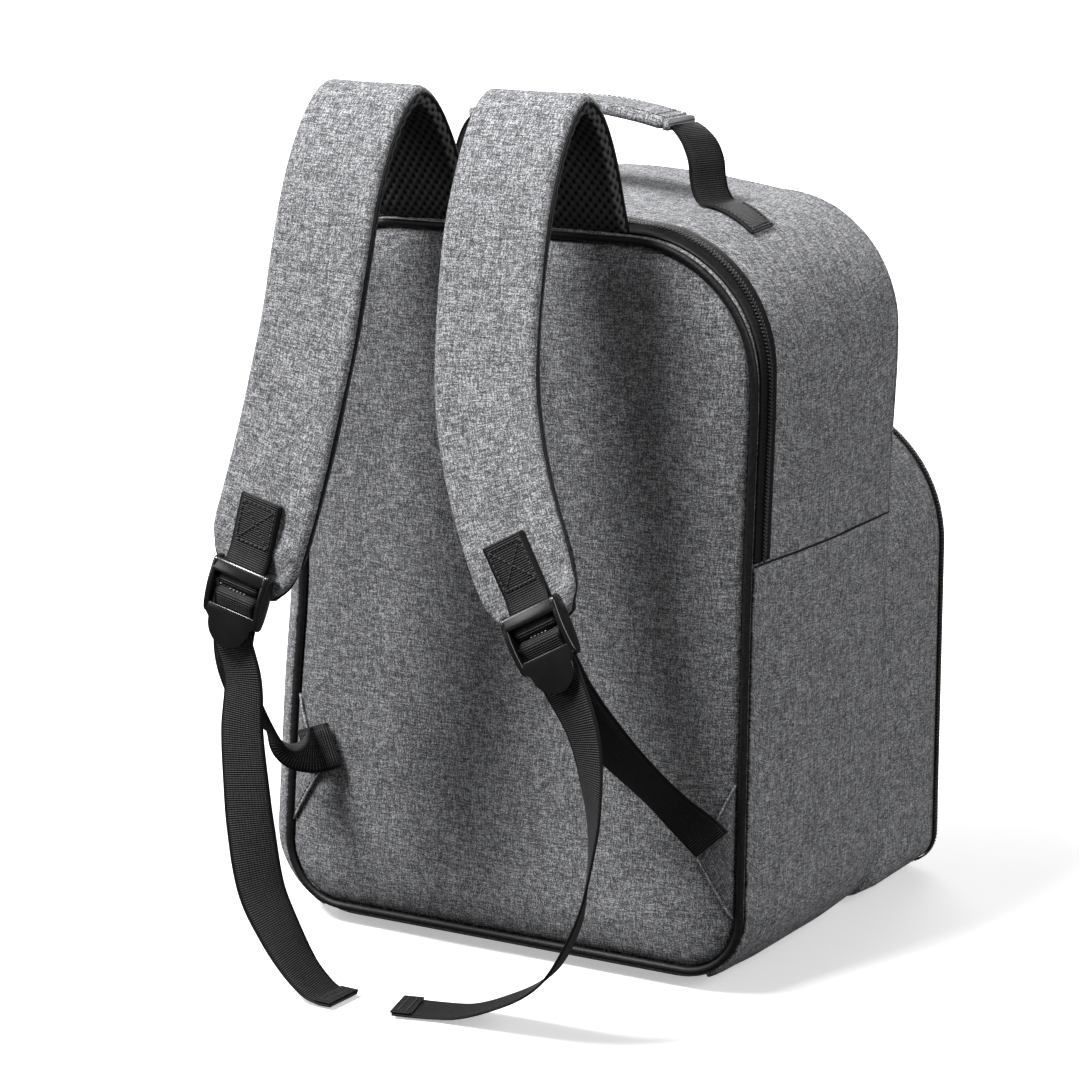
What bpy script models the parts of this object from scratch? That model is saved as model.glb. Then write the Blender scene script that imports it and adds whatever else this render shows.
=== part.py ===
"""Picnic cooler backpack, standing on its base, in metres with +Z up.

The wearer's side faces -Y, the front pocket faces +Y, and the origin lies on
the floor under the middle of the base. Every piece is a closed solid of its own.
"""
from math import atan2, cos, pi, radians, sin

import bmesh
import bpy
from mathutils import Vector

# Driving sizes of the bag
PANEL_HALF_WIDTH = 0.1435
PIPING_TOP = 0.389
PIPING_BOTTOM = 0.0105
BODY_DEPTH = 0.168
BODY_WALL = 0.003
SIDE_BULGE = 0.012
TOP_BULGE = 0.0165
TOP_CROWN = 0.0075
TOP_CORNER = 0.070
PIPING_CORNER = 0.033
BOTTOM_CORNER = 0.046
PANEL_PAD = 0.0075
PIPING_RADIUS = 0.0021
GAP = 0.0003

# Driving sizes of the zips and pockets
ZIP_START = 0.0045
ZIP_WIDTH = 0.0155
ZIP_TAPE = 0.0009
ZIP_COIL = 0.0015
SIDE_POCKET_TOP = 0.228
SIDE_POCKET_WALL = 0.0012
POCKET_HALF_WIDTH = 0.1375
POCKET_TOP = 0.269
POCKET_BOTTOM = 0.003
POCKET_DEPTH = 0.085
POCKET_WALL = 0.0025
POCKET_TOP_CORNER = 0.078
POCKET_BOTTOM_CORNER = 0.019
POCKET_ZIP_WIDTH = 0.005
POCKET_PAD = 0.006
PULL_WIDTH = 0.007
PULL_LENGTH = 0.024
PULL_THICKNESS = 0.0016

# Driving sizes of the shoulder straps
STRAP_WIDTH = 0.0565
STRAP_SPACING = 0.090
STRAP_PAD = 0.0065
STRAP_MESH = 0.0032
STRAP_RISE = 0.0745
STRAP_REACH = 0.113
STRAP_FALL = 0.174
STRAP_SPLAY = 0.043

# Driving sizes of the webbing, buckles and tabs
WEBBING_WIDTH = 0.025
WEBBING = 0.0013
PATCH_LENGTH = 0.0355
BUCKLE_WIDTH = 0.034
BUCKLE_HEIGHT = 0.010
BUCKLE_CHEEK = 0.003
BUCKLE_LENGTH = 0.030
BUCKLE_OVERLAP = 0.012
THUMB_TAB = 0.014
THUMB_TAB_WIDTH = 0.025
THUMB_TAB_THICKNESS = 0.0018
THUMB_TAB_ROOT = 0.0065
ANCHOR_BAR = 0.0016
ANCHOR_BAR_DOWN = 0.0100
ANCHOR_BAR_OUT = 0.0035
SLIDE_BAR = 0.0018
SLIDE_BAR_DOWN = 0.0178
SLIDE_BAR_OUT = 0.0043
TAB_HEIGHT_RIGHT = 0.0435
TAB_HEIGHT_LEFT = 0.056
TAB_LENGTH = 0.0715
TAB_REACH = 0.018
TAB_THICKNESS = 0.0015
TAB_TIP = 0.43
WEBBING_TUCK = 0.004
LOAD_STEPS = 12
LOAD_TURN_RIGHT = (0.25, 0.75)
LOAD_TURN_LEFT = (0.0, 0.55)
LOAD_SAG_RIGHT = 0.26
LOAD_SAG_LEFT = 0.25
LOAD_RUN = 0.20
LOAD_FOLD = 0.019
FOLD_RADIUS = 0.0024
FOLD_RUN = 0.007
FOLD_STEPS = 4

# Driving sizes of the top handle
HANDLE_PLACE = 0.48
FOOT_STEPS = 4
HANDLE_HALF_SPAN = 0.081
HANDLE_FOOT = 0.034
HANDLE_TURN = 22
HANDLE_TOP = 0.4475
HANDLE_BOW = 0.008
HANDLE_GRIP_HALF = 0.060
HANDLE_GRIP_WIDTH = 0.030
HANDLE_GRIP_THICKNESS = 0.006

# Finishes: colour, roughness
GREY_CLOTH = ((0.155, 0.158, 0.165), 0.95)
DARK_CLOTH = ((0.012, 0.012, 0.013), 0.85)
MESH_CLOTH = ((0.006, 0.006, 0.007), 0.9)
BLACK_PLASTIC = ((0.020, 0.020, 0.021), 0.35)

# The left load webbing's way after its fold, and its width where it turns edge-on
FOLD_AWAY = Vector((-0.8, -0.6, 0.3))
EDGE_ON = Vector((-0.5, 0.85, -0.2))

BACK = -BODY_DEPTH / 2
FRONT = BODY_DEPTH / 2

# Panel edge: height share of the piping loop, then left and right reach as
# shares of the half width. The left edge is drawn in at its middle.
EDGE_ROWS = (
    # height, left, right
    (0.08, 0.955, 0.972),
    (0.30, 0.915, 0.978),
    (0.52, 0.870, 0.985),
    (0.78, 0.930, 1.005),
)

# Body sections from back to front: place as a share of the depth, then how far
# each side has swollen and the top and bottom have spread, as shares of the
# named bulges, and how far the front edge has turned in, as a share of the wall.
BODY_ROWS = (
    # depth, left, right, top, bottom, turned_in
    (0.016, 0.00, 0.00, 0.00, 0.00, 0.0),
    (0.027, 0.30, 0.02, 0.20, 0.35, 0.0),
    (0.119, 1.25, 0.08, 0.70, 1.00, 0.0),
    (0.300, 1.65, 0.30, 0.90, 1.00, 0.0),
    (0.550, 1.65, 0.38, 1.00, 1.00, 0.0),
    (0.800, 1.50, 0.34, 1.00, 1.00, 0.0),
    (0.940, 1.35, 0.28, 1.00, 1.00, 0.0),
    (0.985, 1.30, 0.25, 1.00, 1.00, 0.6),
    (1.000, 1.20, 0.20, 1.00, 1.00, 1.8),
)
ARC_STEPS = 6
FLAT_STEPS = 4

# Shoulder strap from its seam on the panel's top edge, over the arch and down:
# out and up as shares of reach and rise (or fall, where it is below the seam),
# sideways as shares of the splay for the right and left straps, the width and
# the thickness as shares of the full ones.
STRAP_ROWS = (
    # out, up, right, left, width, thick
    (0.000, 0.035, 0.00, 0.00, 1.00, 0.35),
    (0.020, 0.150, 0.00, 0.02, 1.00, 0.75),
    (0.090, 0.480, 0.00, 0.05, 1.00, 1.00),
    (0.190, 0.790, 0.00, 0.08, 1.00, 1.00),
    (0.290, 0.950, 0.00, 0.10, 1.00, 1.00),
    (0.390, 1.000, 0.00, 0.11, 1.00, 1.00),
    (0.490, 0.930, 0.00, 0.13, 1.00, 1.00),
    (0.590, 0.760, 0.00, 0.15, 1.00, 1.00),
    (0.670, 0.540, 0.00, 0.17, 1.00, 1.00),
    (0.740, 0.270, 0.00, 0.19, 1.00, 1.00),
    (0.800, -0.030, 0.00, 0.21, 1.00, 1.00),
    (0.850, -0.215, 0.00, 0.28, 1.00, 1.00),
    (0.890, -0.390, 0.06, 0.39, 1.00, 1.00),
    (0.925, -0.550, 0.20, 0.50, 1.00, 1.00),
    (0.955, -0.710, 0.41, 0.65, 1.00, 1.00),
    (0.975, -0.870, 0.68, 0.82, 0.98, 1.00),
    (0.980, -0.960, 0.88, 0.91, 0.84, 0.85),
    (0.980, -1.010, 1.02, 0.99, 0.60, 0.55),
)

# The side of a buckle's cheek: down as shares of the buckle's length, outwards as
# shares of its height.
CHEEK_ROWS = (
    # down, out
    (0.00, 0.12),
    (0.00, 0.75),
    (0.17, 0.90),
    (0.43, 1.00),
    (0.70, 0.98),
    (0.93, 0.85),
    (1.00, 0.60),
    (0.95, 0.30),
    (0.67, 0.10),
    (0.33, 0.04),
)
TOP_PLATE_ROWS = (
    # down, out
    (0.015, 0.56),
    (0.015, 0.72),
    (0.175, 0.86),
    (0.180, 0.70),
)

# Middle lines of webbing inside a buckle, in the same shares: the load webbing
# coming in behind the slide bar, the tail leaving under the thumb tab, and the
# sewn webbing coming back over the anchor bar.
LOAD_ENTRY_ROWS = (
    # down, out
    (1.13, 0.12),
    (0.79, 0.13),
)
TAIL_EXIT_ROWS = (
    # down, out
    (0.80, 0.54),
    (0.95, 0.44),
    (1.20, 0.40),
)
SEWN_RETURN_ROWS = (
    # down, out
    (0.15, 0.51),
    (0.00, 0.40),
)

# Loose webbing tail from under the buckle's tab to the floor: how far down as a
# share of the drop, then sideways and outwards as shares of the drop, and the
# turn of its width about the vertical.
TAIL_ROWS_RIGHT = (
    # down, side, out, turn
    (0.15, 0.068, -0.005, -20),
    (0.32, 0.092, -0.005, -42),
    (0.44, 0.086, -0.010, -56),
    (0.57, 0.064, -0.015, -66),
    (0.68, 0.026, -0.025, -76),
    (0.80, -0.051, -0.055, -80),
    (0.877, -0.138, -0.085, -82),
    (0.943, -0.255, -0.110, -84),
    (0.982, -0.350, -0.120, -87),
    (0.992, -0.420, -0.115, -90),
    (0.992, -0.535, -0.085, -95),
)
TAIL_ROWS_LEFT = (
    # down, side, out, turn
    (0.13, 0.028, -0.010, -4),
    (0.28, 0.020, -0.014, 6),
    (0.42, 0.027, -0.017, 16),
    (0.54, 0.037, -0.020, 28),
    (0.71, 0.064, -0.026, 48),
    (0.824, 0.112, -0.038, 62),
    (0.922, 0.167, -0.053, 75),
    (0.974, 0.217, -0.060, 80),
    (0.992, 0.259, -0.062, 86),
    (0.992, 0.301, -0.060, 88),
)

# The handle's webbing from the inner end of its foot up to the grip: inwards as
# shares of the way to the grip, up as shares of the rise, and its turn as a share
# of the foot's.
HANDLE_ROWS = (
    # inwards, up, turn
    (0.17, 0.12, 1.00),
    (0.26, 0.30, 1.00),
    (0.32, 0.54, 1.00),
    (0.50, 0.76, 0.90),
    (0.76, 0.91, 0.60),
    (0.96, 0.98, 0.40),
)


def clear_scene():
    for item in list(bpy.data.objects):
        bpy.data.objects.remove(item, do_unlink=True)


def make_collection(name):
    group = bpy.data.collections.new(name)
    bpy.context.scene.collection.children.link(group)
    return group


def make_material(name, finish):
    colour, roughness = finish
    material = bpy.data.materials.new(name)
    material.use_nodes = True
    shader = material.node_tree.nodes["Principled BSDF"]
    shader.inputs["Base Color"].default_value = (*colour, 1.0)
    shader.inputs["Roughness"].default_value = roughness
    shader.inputs["Metallic"].default_value = 0.0
    return material


def add_object(name, mesh, finish, group):
    item = bpy.data.objects.new(name, mesh)
    item.data.materials.append(make_material(name, finish))
    group.objects.link(item)
    return item


def loft(name, rings, start_cap, end_cap, closed=True, turned_from=None):
    """Skin a list of equal rings, given from back to front. Every cell is cut
    along the same diagonal, so that layers laid on each other stay parallel. In a
    thin strip the cells from turned_from on are its other face, and are cut along
    the other diagonal, so that its two faces stay parallel where it twists."""
    shape = bmesh.new()
    rows = [[shape.verts.new(point) for point in ring] for ring in rings]
    count = len(rows[0])
    span = count if closed else count - 1
    turned = count if turned_from is None else turned_from
    for near, far in zip(rows, rows[1:]):
        for i in range(span):
            j = (i + 1) % count
            if i < turned:
                shape.faces.new((near[i], far[i], far[j]))
                shape.faces.new((near[i], far[j], near[j]))
            else:
                shape.faces.new((near[i], far[i], near[j]))
                shape.faces.new((far[i], far[j], near[j]))
    if start_cap:
        shape.faces.new(rows[0])
    if end_cap:
        shape.faces.new(list(reversed(rows[-1])))
    mesh = bpy.data.meshes.new(name)
    if start_cap and end_cap:
        bmesh.ops.recalc_face_normals(shape, faces=shape.faces)
    shape.to_mesh(mesh)
    shape.free()
    mesh.shade_smooth()
    mesh.set_sharp_from_angle(angle=radians(50))
    return mesh


def thicken(item, thickness, outward=False):
    wall = item.modifiers.new("wall", "SOLIDIFY")
    wall.thickness = thickness
    wall.offset = 1.0 if outward else -1.0
    wall.use_even_offset = True


def arc(center_x, center_z, radius_x, radius_z, start):
    """A quarter turn of corner points, counted from a start angle in degrees."""
    points = []
    for step in range(ARC_STEPS + 1):
        angle = radians(start + 90 * step / ARC_STEPS)
        points.append((center_x + radius_x * cos(angle), center_z + radius_z * sin(angle)))
    return points


def edge_reach(share, side):
    """Reach of the panel's edge at a height share, in metres, for side -1 or 1."""
    column = 1 if side < 0 else 2
    rows = EDGE_ROWS
    if share <= rows[0][0]:
        return PANEL_HALF_WIDTH * rows[0][column]
    for low, high in zip(rows, rows[1:]):
        if share <= high[0]:
            blend = (share - low[0]) / (high[0] - low[0])
            return PANEL_HALF_WIDTH * (low[column] + blend * (high[column] - low[column]))
    return PANEL_HALF_WIDTH * rows[-1][column]


def body_outline(y, left, right, top, bottom, inset):
    """The bag's outline in one upright plane, from the bottom's middle round to
    the right, the top and the left. The sides swell by left and right, the top
    and bottom by theirs, and inset draws the whole outline in."""
    height = PIPING_TOP - PIPING_BOTTOM
    high = PIPING_TOP + top - inset
    low = PIPING_BOTTOM - bottom + inset
    crown = TOP_CROWN * top / TOP_BULGE
    top_radius = TOP_CORNER - inset
    spread = bottom / PIPING_BOTTOM
    low_radius = PIPING_CORNER + (BOTTOM_CORNER - PIPING_CORNER) * spread - inset
    shoulder = high - crown

    def reach(z, side):
        swell = right if side > 0 else left
        return side * (edge_reach((z - PIPING_BOTTOM) / height, side) + swell - inset)

    z_low = low + low_radius
    z_high = shoulder - top_radius
    pocket_line = SIDE_POCKET_TOP
    waist = (z_low + pocket_line) / 2
    upper = (pocket_line + z_high) / 2
    side_heights = (waist, pocket_line, upper)
    x_low = {side: reach(z_low, side) for side in (-1, 1)}
    x_high = {side: reach(z_high, side) for side in (-1, 1)}
    corner = {side: x_high[side] - side * top_radius for side in (-1, 1)}
    foot = {side: x_low[side] - side * low_radius for side in (-1, 1)}

    points = []
    for step in range(1, FLAT_STEPS):
        points.append((foot[-1] + (foot[1] - foot[-1]) * step / FLAT_STEPS, low))
    points += arc(foot[1], z_low, low_radius, low_radius, -90)
    points += [(reach(z, 1), z) for z in side_heights]
    points += arc(corner[1], z_high, top_radius, top_radius, 0)
    for step in range(1, FLAT_STEPS):
        share = step / FLAT_STEPS
        x = corner[1] + (corner[-1] - corner[1]) * share
        points.append((x, shoulder + crown * sin(pi * share)))
    points += arc(corner[-1], z_high, top_radius, top_radius, 90)
    points += [(reach(z, -1), z) for z in reversed(side_heights)]
    points += arc(foot[-1], z_low, low_radius, low_radius, 180)
    return [Vector((x, y, z)) for x, z in points]


RIGHT_FOOT = FLAT_STEPS - 1
RIGHT_POCKET_LINE = RIGHT_FOOT + ARC_STEPS + 2
LEFT_POCKET_LINE = RIGHT_POCKET_LINE + 2 * ARC_STEPS + FLAT_STEPS + 4
LEFT_FOOT = LEFT_POCKET_LINE + 2 + ARC_STEPS


def body_section(row, lift=0.0):
    """The body's outline at a row of BODY_ROWS, lifted off its surface."""
    depth, left, right, top, bottom, turned_in = row
    return body_outline(
        BACK + depth * BODY_DEPTH,
        left * SIDE_BULGE,
        right * SIDE_BULGE,
        top * TOP_BULGE,
        bottom * PIPING_BOTTOM,
        turned_in * BODY_WALL - lift,
    )


def body_row(depth_share):
    """A row of the body at any depth share, between the rows of the table."""
    for near, far in zip(BODY_ROWS, BODY_ROWS[1:]):
        if near[0] <= depth_share <= far[0]:
            blend = (depth_share - near[0]) / (far[0] - near[0])
            return tuple(a + blend * (b - a) for a, b in zip(near, far))
    return BODY_ROWS[-1]


def lifted_line(depth_share, distance):
    """The body's outline at a depth share, moved straight off its surface."""
    here = body_section(body_row(depth_share))
    ahead = body_section(body_row(depth_share + 0.01))
    count = len(here)
    line = []
    for i in range(count):
        along = here[(i + 1) % count] - here[i - 1]
        outward = (ahead[i] - here[i]).cross(along).normalized()
        line.append(here[i] + outward * distance)
    return line


def make_body(group):
    rings = [body_section(row) for row in BODY_ROWS]
    shell = add_object("body_shell", loft("body_shell", rings, False, True), GREY_CLOTH, group)
    thicken(shell, BODY_WALL)


def make_back_panel(group):
    """The padded panel that closes the body on the wearer's side."""
    edge = PIPING_RADIUS + GAP
    seat = BACK + PIPING_RADIUS
    face = seat - PANEL_PAD
    rows = ((0.0, 0.0), (0.6, 0.0), (0.88, 0.12), (1.0, 0.45))
    rings = []
    for share, turn in reversed(rows):
        y = seat + (face - seat) * share
        rings.append(body_outline(y, 0.0, 0.0, 0.0, 0.0, edge + turn * PANEL_PAD))
    add_object("back_panel", loft("back_panel", rings, True, True), GREY_CLOTH, group)


def tube(name, points, radius, finish, group, cyclic, sides_level=2):
    curve = bpy.data.curves.new(name, "CURVE")
    curve.dimensions = "3D"
    curve.bevel_depth = radius
    curve.bevel_resolution = sides_level
    curve.render_resolution_u = 0
    curve.use_fill_caps = not cyclic
    spline = curve.splines.new("POLY")
    spline.points.add(len(points) - 1)
    for knot, point in zip(spline.points, points):
        knot.co = (*point, 1.0)
    spline.use_cyclic_u = cyclic
    return add_object(name, curve, finish, group)


def make_piping(group):
    points = body_outline(BACK, 0.0, 0.0, 0.0, 0.0, 0.0)
    tube("back_piping", points, PIPING_RADIUS, DARK_CLOTH, group, True)


def make_main_zip(group):
    """The zip's tape over the top of the gusset, down to both side pockets, and
    the closed coil along its middle."""
    start = ZIP_START / BODY_DEPTH
    end = (ZIP_START + ZIP_WIDTH) / BODY_DEPTH
    between = [row[0] for row in BODY_ROWS if start < row[0] < end]
    middle = (start + end) / 2
    places = sorted({start, middle, end, *between})
    pick = slice(RIGHT_POCKET_LINE, LEFT_POCKET_LINE + 1)
    clearance = SIDE_POCKET_WALL + 2 * GAP
    rings = []
    for place in places:
        ring = body_section(body_row(place), lift=2 * GAP)[pick]
        ring[0].z += clearance
        ring[-1].z += clearance
        rings.append(ring)
    mesh = loft("main_zip_tape", rings, False, False, closed=False)
    tape = add_object("main_zip_tape", mesh, DARK_CLOTH, group)
    thicken(tape, ZIP_TAPE, outward=True)
    path = lifted_line(middle, 3 * GAP + ZIP_TAPE + ZIP_COIL)[pick]
    path[0].z += clearance
    path[-1].z += clearance
    tube("main_zip_coil", path, ZIP_COIL, DARK_CLOTH, group, False)


def make_pull(name, top, across, down, finish, group):
    """A plain flat zip pull: a rounded plate hanging from its top point."""
    outward = down.cross(across).normalized()
    rings = []
    for share, width in ((0.0, 0.6), (0.12, 1.0), (0.85, 1.0), (1.0, 0.6)):
        center = top + down * (PULL_LENGTH * share)
        half = across * (PULL_WIDTH * width / 2)
        depth = outward * (PULL_THICKNESS / 2)
        rings.append([center - half - depth, center + half - depth, center + half + depth, center - half + depth])
    add_object(name, loft(name, rings, True, True), finish, group)


def make_pulls(group):
    """Both zips are closed on the sides that the usual view doesn't reach."""
    place = (ZIP_START + ZIP_WIDTH / 2) / BODY_DEPTH
    outline = lifted_line(place, ZIP_TAPE + 4 * GAP + 2 * ZIP_COIL + PULL_THICKNESS / 2)
    low = outline[LEFT_POCKET_LINE]
    high = outline[LEFT_POCKET_LINE - 1]
    down = (low - high).normalized()
    near = body_section(body_row(ZIP_START / BODY_DEPTH))[LEFT_POCKET_LINE - 1]
    far = body_section(body_row((ZIP_START + ZIP_WIDTH) / BODY_DEPTH))[LEFT_POCKET_LINE - 1]
    make_pull("main_zip_pull", high, (near - far).normalized(), down, BLACK_PLASTIC, group)
    zip_y = FRONT + GAP + POCKET_DEPTH + PULL_THICKNESS / 2 + GAP
    head = Vector((0, zip_y + POCKET_PAD, POCKET_TOP - 2 * POCKET_PAD))
    make_pull("front_zip_pull", head, Vector((-1, 0, 0)), Vector((0, 0, -1)), BLACK_PLASTIC, group)


def make_side_pocket(name, picks, group):
    """A flat pocket panel over the lower half of a side, hemmed at its top."""
    first = ZIP_START / BODY_DEPTH
    last = BODY_ROWS[-3][0]
    between = [row[0] for row in BODY_ROWS if first < row[0] < last]
    places = [first, *between, last]
    rings = [body_section(body_row(place), lift=2 * GAP)[picks] for place in places]
    mesh = loft(name, rings, False, False, closed=False)
    thicken(add_object(name, mesh, GREY_CLOTH, group), SIDE_POCKET_WALL, outward=True)


def pocket_outline(y, inset):
    """The front pocket's outline in one upright plane, drawn in by inset."""
    half = POCKET_HALF_WIDTH - inset
    high = POCKET_TOP - inset
    low = POCKET_BOTTOM + inset
    top_radius = POCKET_TOP_CORNER - inset
    low_radius = POCKET_BOTTOM_CORNER - inset
    foot = half - low_radius
    corner = half - top_radius
    points = [(0.0, low)]
    points += arc(foot, low + low_radius, low_radius, low_radius, -90)
    points.append((half, (low + high) / 2))
    points += arc(corner, high - top_radius, top_radius, top_radius, 0)
    points.append((0.0, high))
    points += arc(-corner, high - top_radius, top_radius, top_radius, 90)
    points.append((-half, (low + high) / 2))
    points += arc(-foot, low + low_radius, low_radius, low_radius, 180)
    return [Vector((x, y, z)) for x, z in points]


def make_front_pocket(group):
    """The pocket's tub, the zip round its front edge and the panel it carries."""
    back = FRONT + GAP
    zip_back = back + POCKET_DEPTH - POCKET_ZIP_WIDTH
    rows = ((back, 0.0015), (back + 0.25 * POCKET_DEPTH, 0.0), (zip_back - GAP, 0.0))
    rings = [pocket_outline(y, inset) for y, inset in rows]
    tub = add_object("front_pocket_shell", loft("front_pocket_shell", list(reversed(rings)), False, True),
                     GREY_CLOTH, group)
    tub.data.flip_normals()
    thicken(tub, POCKET_WALL)

    band = [pocket_outline(y, 0.0) for y in (zip_back, zip_back + POCKET_ZIP_WIDTH - GAP)]
    ring = add_object("front_pocket_zip", loft("front_pocket_zip", band, False, False), DARK_CLOTH, group)
    thicken(ring, POCKET_WALL)

    seat = back + POCKET_DEPTH
    rows = ((0.0, 0.0), (0.5, 0.05), (0.85, 0.3), (1.0, 0.9))
    rings = [pocket_outline(seat + share * POCKET_PAD, turn * POCKET_PAD) for share, turn in rows]
    add_object("front_pocket_panel", loft("front_pocket_panel", rings, True, True), GREY_CLOTH, group)


def strap_path(side):
    """The middle line of the strap's outer face, with its width and thickness
    shares."""
    column = 2 if side > 0 else 3
    path = []
    for row in STRAP_ROWS:
        out, up = row[0], row[1]
        rise = STRAP_RISE if up > 0 else STRAP_FALL
        x = side * (STRAP_SPACING / 2 + STRAP_SPLAY * row[column])
        center = Vector((x, BACK - out * STRAP_REACH, PIPING_TOP + PIPING_RADIUS + up * rise))
        path.append((center, row[4], row[5]))
    return path


def frames_along(points):
    """Tangent, width and outward directions at each point of a strap."""
    frames = []
    last = len(points) - 1
    for i in range(len(points)):
        tangent = points[min(i + 1, last)] - points[max(i - 1, 0)]
        if i == 0:
            tangent.x = 0.0
        tangent.normalize()
        across = (Vector((1, 0, 0)) - tangent * tangent.x).normalized()
        outward = tangent.cross(across).normalized()
        frames.append((tangent, across, outward))
    return frames


def slab(center, across, outward, width, base, top, edge):
    """A strip's cross-section: flat at its base level, chamfered by edge at its
    top level, which may lie on either side of the base."""
    half = width / 2
    side = top - edge if top > base else top + edge
    corners = (
        (-half, base), (-half / 2, base), (0.0, base), (half / 2, base), (half, base),
        (half, side), (half - edge, top), (0.0, top), (edge - half, top), (-half, side),
    )
    return [center + across * u + outward * v for u, v in corners]


def make_strap(side, label, group):
    path = strap_path(side)
    frames = frames_along([step[0] for step in path])
    pad_rings = []
    mesh_rings = []
    for (center, width_share, thick_share), (_, across, outward) in zip(path, frames):
        width = STRAP_WIDTH * width_share
        pad = STRAP_PAD * thick_share
        spacer = STRAP_MESH * thick_share
        under = -pad - GAP
        pad_rings.append(slab(center, across, outward, width, -pad, 0.0, pad / 3))
        mesh_rings.append(slab(center, across, outward, width, under, under - spacer, spacer / 4))
    pad_name = f"strap_pad_{label}"
    mesh_name = f"strap_mesh_{label}"
    add_object(pad_name, loft(pad_name, pad_rings, True, True), GREY_CLOTH, group)
    add_object(mesh_name, loft(mesh_name, mesh_rings, True, True), MESH_CLOTH, group)


def buckle_frame(side):
    """Where the buckle sits: its top edge's middle on the pad's outer face, and
    the directions across, down the strap and outward."""
    path = strap_path(side)
    points = [step[0] for step in path]
    length = 0.0
    for last, point in zip(reversed(points[1:]), reversed(points[:-1])):
        step = (last - point).length
        if length + step >= BUCKLE_OVERLAP:
            down = (last - point).normalized()
            place = last - down * (BUCKLE_OVERLAP - length)
            break
        length += step
    across = (Vector((1, 0, 0)) - down * down.x).normalized()
    outward = down.cross(across).normalized()
    return place + outward * GAP, across, down, outward


def to_world(frame, u, v, n):
    origin, across, down, outward = frame
    return origin + across * u + down * v + outward * n


def prism(name, frame, outline, low, high, axis):
    """A straight prism in the buckle's frame. The outline lies across the axis:
    axis "u" takes (v, n) pairs, axis "n" takes (u, v) pairs."""
    rings = []
    for level in (low, high):
        if axis == "u":
            rings.append([to_world(frame, level, v, n) for v, n in outline])
        else:
            rings.append([to_world(frame, u, v, level) for u, v in outline])
    return loft(name, rings, True, True)


def round_bar(radius, v, n, sides=10):
    turn = 2 * pi / sides
    return [(v + radius * cos(turn * i), n + radius * sin(turn * i)) for i in range(sides)]


def thumb_tab_outline():
    """The thumb tab: a half disc below the buckle, drawn from above the slide bar."""
    root = (BUCKLE_WIDTH - BUCKLE_CHEEK) / 2
    half = THUMB_TAB_WIDTH / 2
    top = BUCKLE_LENGTH - THUMB_TAB_ROOT
    center = BUCKLE_LENGTH + THUMB_TAB - half
    points = [(root, top), (root, center)]
    for step in range(9):
        angle = pi * step / 8
        points.append((half * cos(angle), center + half * sin(angle)))
    return points + [(-root, center), (-root, top)]


def sized(rows):
    """A buckle outline's shares in metres."""
    return [(down * BUCKLE_LENGTH, out * BUCKLE_HEIGHT) for down, out in rows]


def make_buckle(side, label, group, tools):
    """A ladder lock: two arched cheeks, a top plate, two bars and a thumb tab."""
    frame = buckle_frame(side)
    half = BUCKLE_WIDTH / 2
    inner = half - BUCKLE_CHEEK
    into_cheek = inner + BUCKLE_CHEEK / 2
    cheek = sized(CHEEK_ROWS)
    plate = sized(TOP_PLATE_ROWS)
    anchor_bar = round_bar(ANCHOR_BAR, ANCHOR_BAR_DOWN, ANCHOR_BAR_OUT)
    slide_bar = round_bar(SLIDE_BAR, SLIDE_BAR_DOWN, SLIDE_BAR_OUT)
    tab_base = 0.7 * BUCKLE_HEIGHT
    tab_face = tab_base + THUMB_TAB_THICKNESS
    name = f"buckle_{label}"
    buckle = add_object(name, prism(name, frame, cheek, inner, half, "u"), BLACK_PLASTIC, group)
    pieces = (
        prism("other_cheek", frame, cheek, -half, -inner, "u"),
        prism("top_plate", frame, plate, -into_cheek, into_cheek, "u"),
        prism("anchor_bar", frame, anchor_bar, -into_cheek, into_cheek, "u"),
        prism("slide_bar", frame, slide_bar, -into_cheek, into_cheek, "u"),
        prism("thumb_tab", frame, thumb_tab_outline(), tab_base, tab_face, "n"),
    )
    for index, mesh in enumerate(pieces):
        guide = bpy.data.objects.new(f"{name}_tool_{index}", mesh)
        guide.hide_render = True
        guide.display_type = "WIRE"
        tools.objects.link(guide)
        union = buckle.modifiers.new("union", "BOOLEAN")
        union.operation = "UNION"
        union.object = guide


def ribbon(name, stations, thickness, finish, group):
    """A strip of webbing through stations of (middle, width direction)."""
    rings = []
    last = len(stations) - 1
    for i, (center, across) in enumerate(stations):
        tangent = (stations[min(i + 1, last)][0] - stations[max(i - 1, 0)][0]).normalized()
        across = (across - tangent * across.dot(tangent)).normalized()
        outward = across.cross(tangent)
        half = across * (WEBBING_WIDTH / 2)
        depth = outward * (thickness / 2)
        rings.append([center - half - depth, center + half - depth, center + half + depth, center - half + depth])
    add_object(name, loft(name, rings, True, True, turned_from=2), finish, group)


def around_bar(radius, v, n, start, end, steps):
    """Points round a bar in the buckle's (v, n) plane, by angle in degrees from
    straight outward, turning down the strap."""
    points = []
    for step in range(steps + 1):
        angle = radians(start + (end - start) * step / steps)
        points.append((v + radius * sin(angle), n + radius * cos(angle)))
    return points


def in_buckle(frame, rows):
    """Middle points in a buckle from rows of down and out shares."""
    return [to_world(frame, 0.0, down, out) for down, out in sized(rows)]


def bar_turn(frame, radius, down, out, start, end, steps):
    """Middle points round one of the buckle's bars."""
    return [to_world(frame, 0.0, v, n) for v, n in around_bar(radius, down, out, start, end, steps)]


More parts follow.
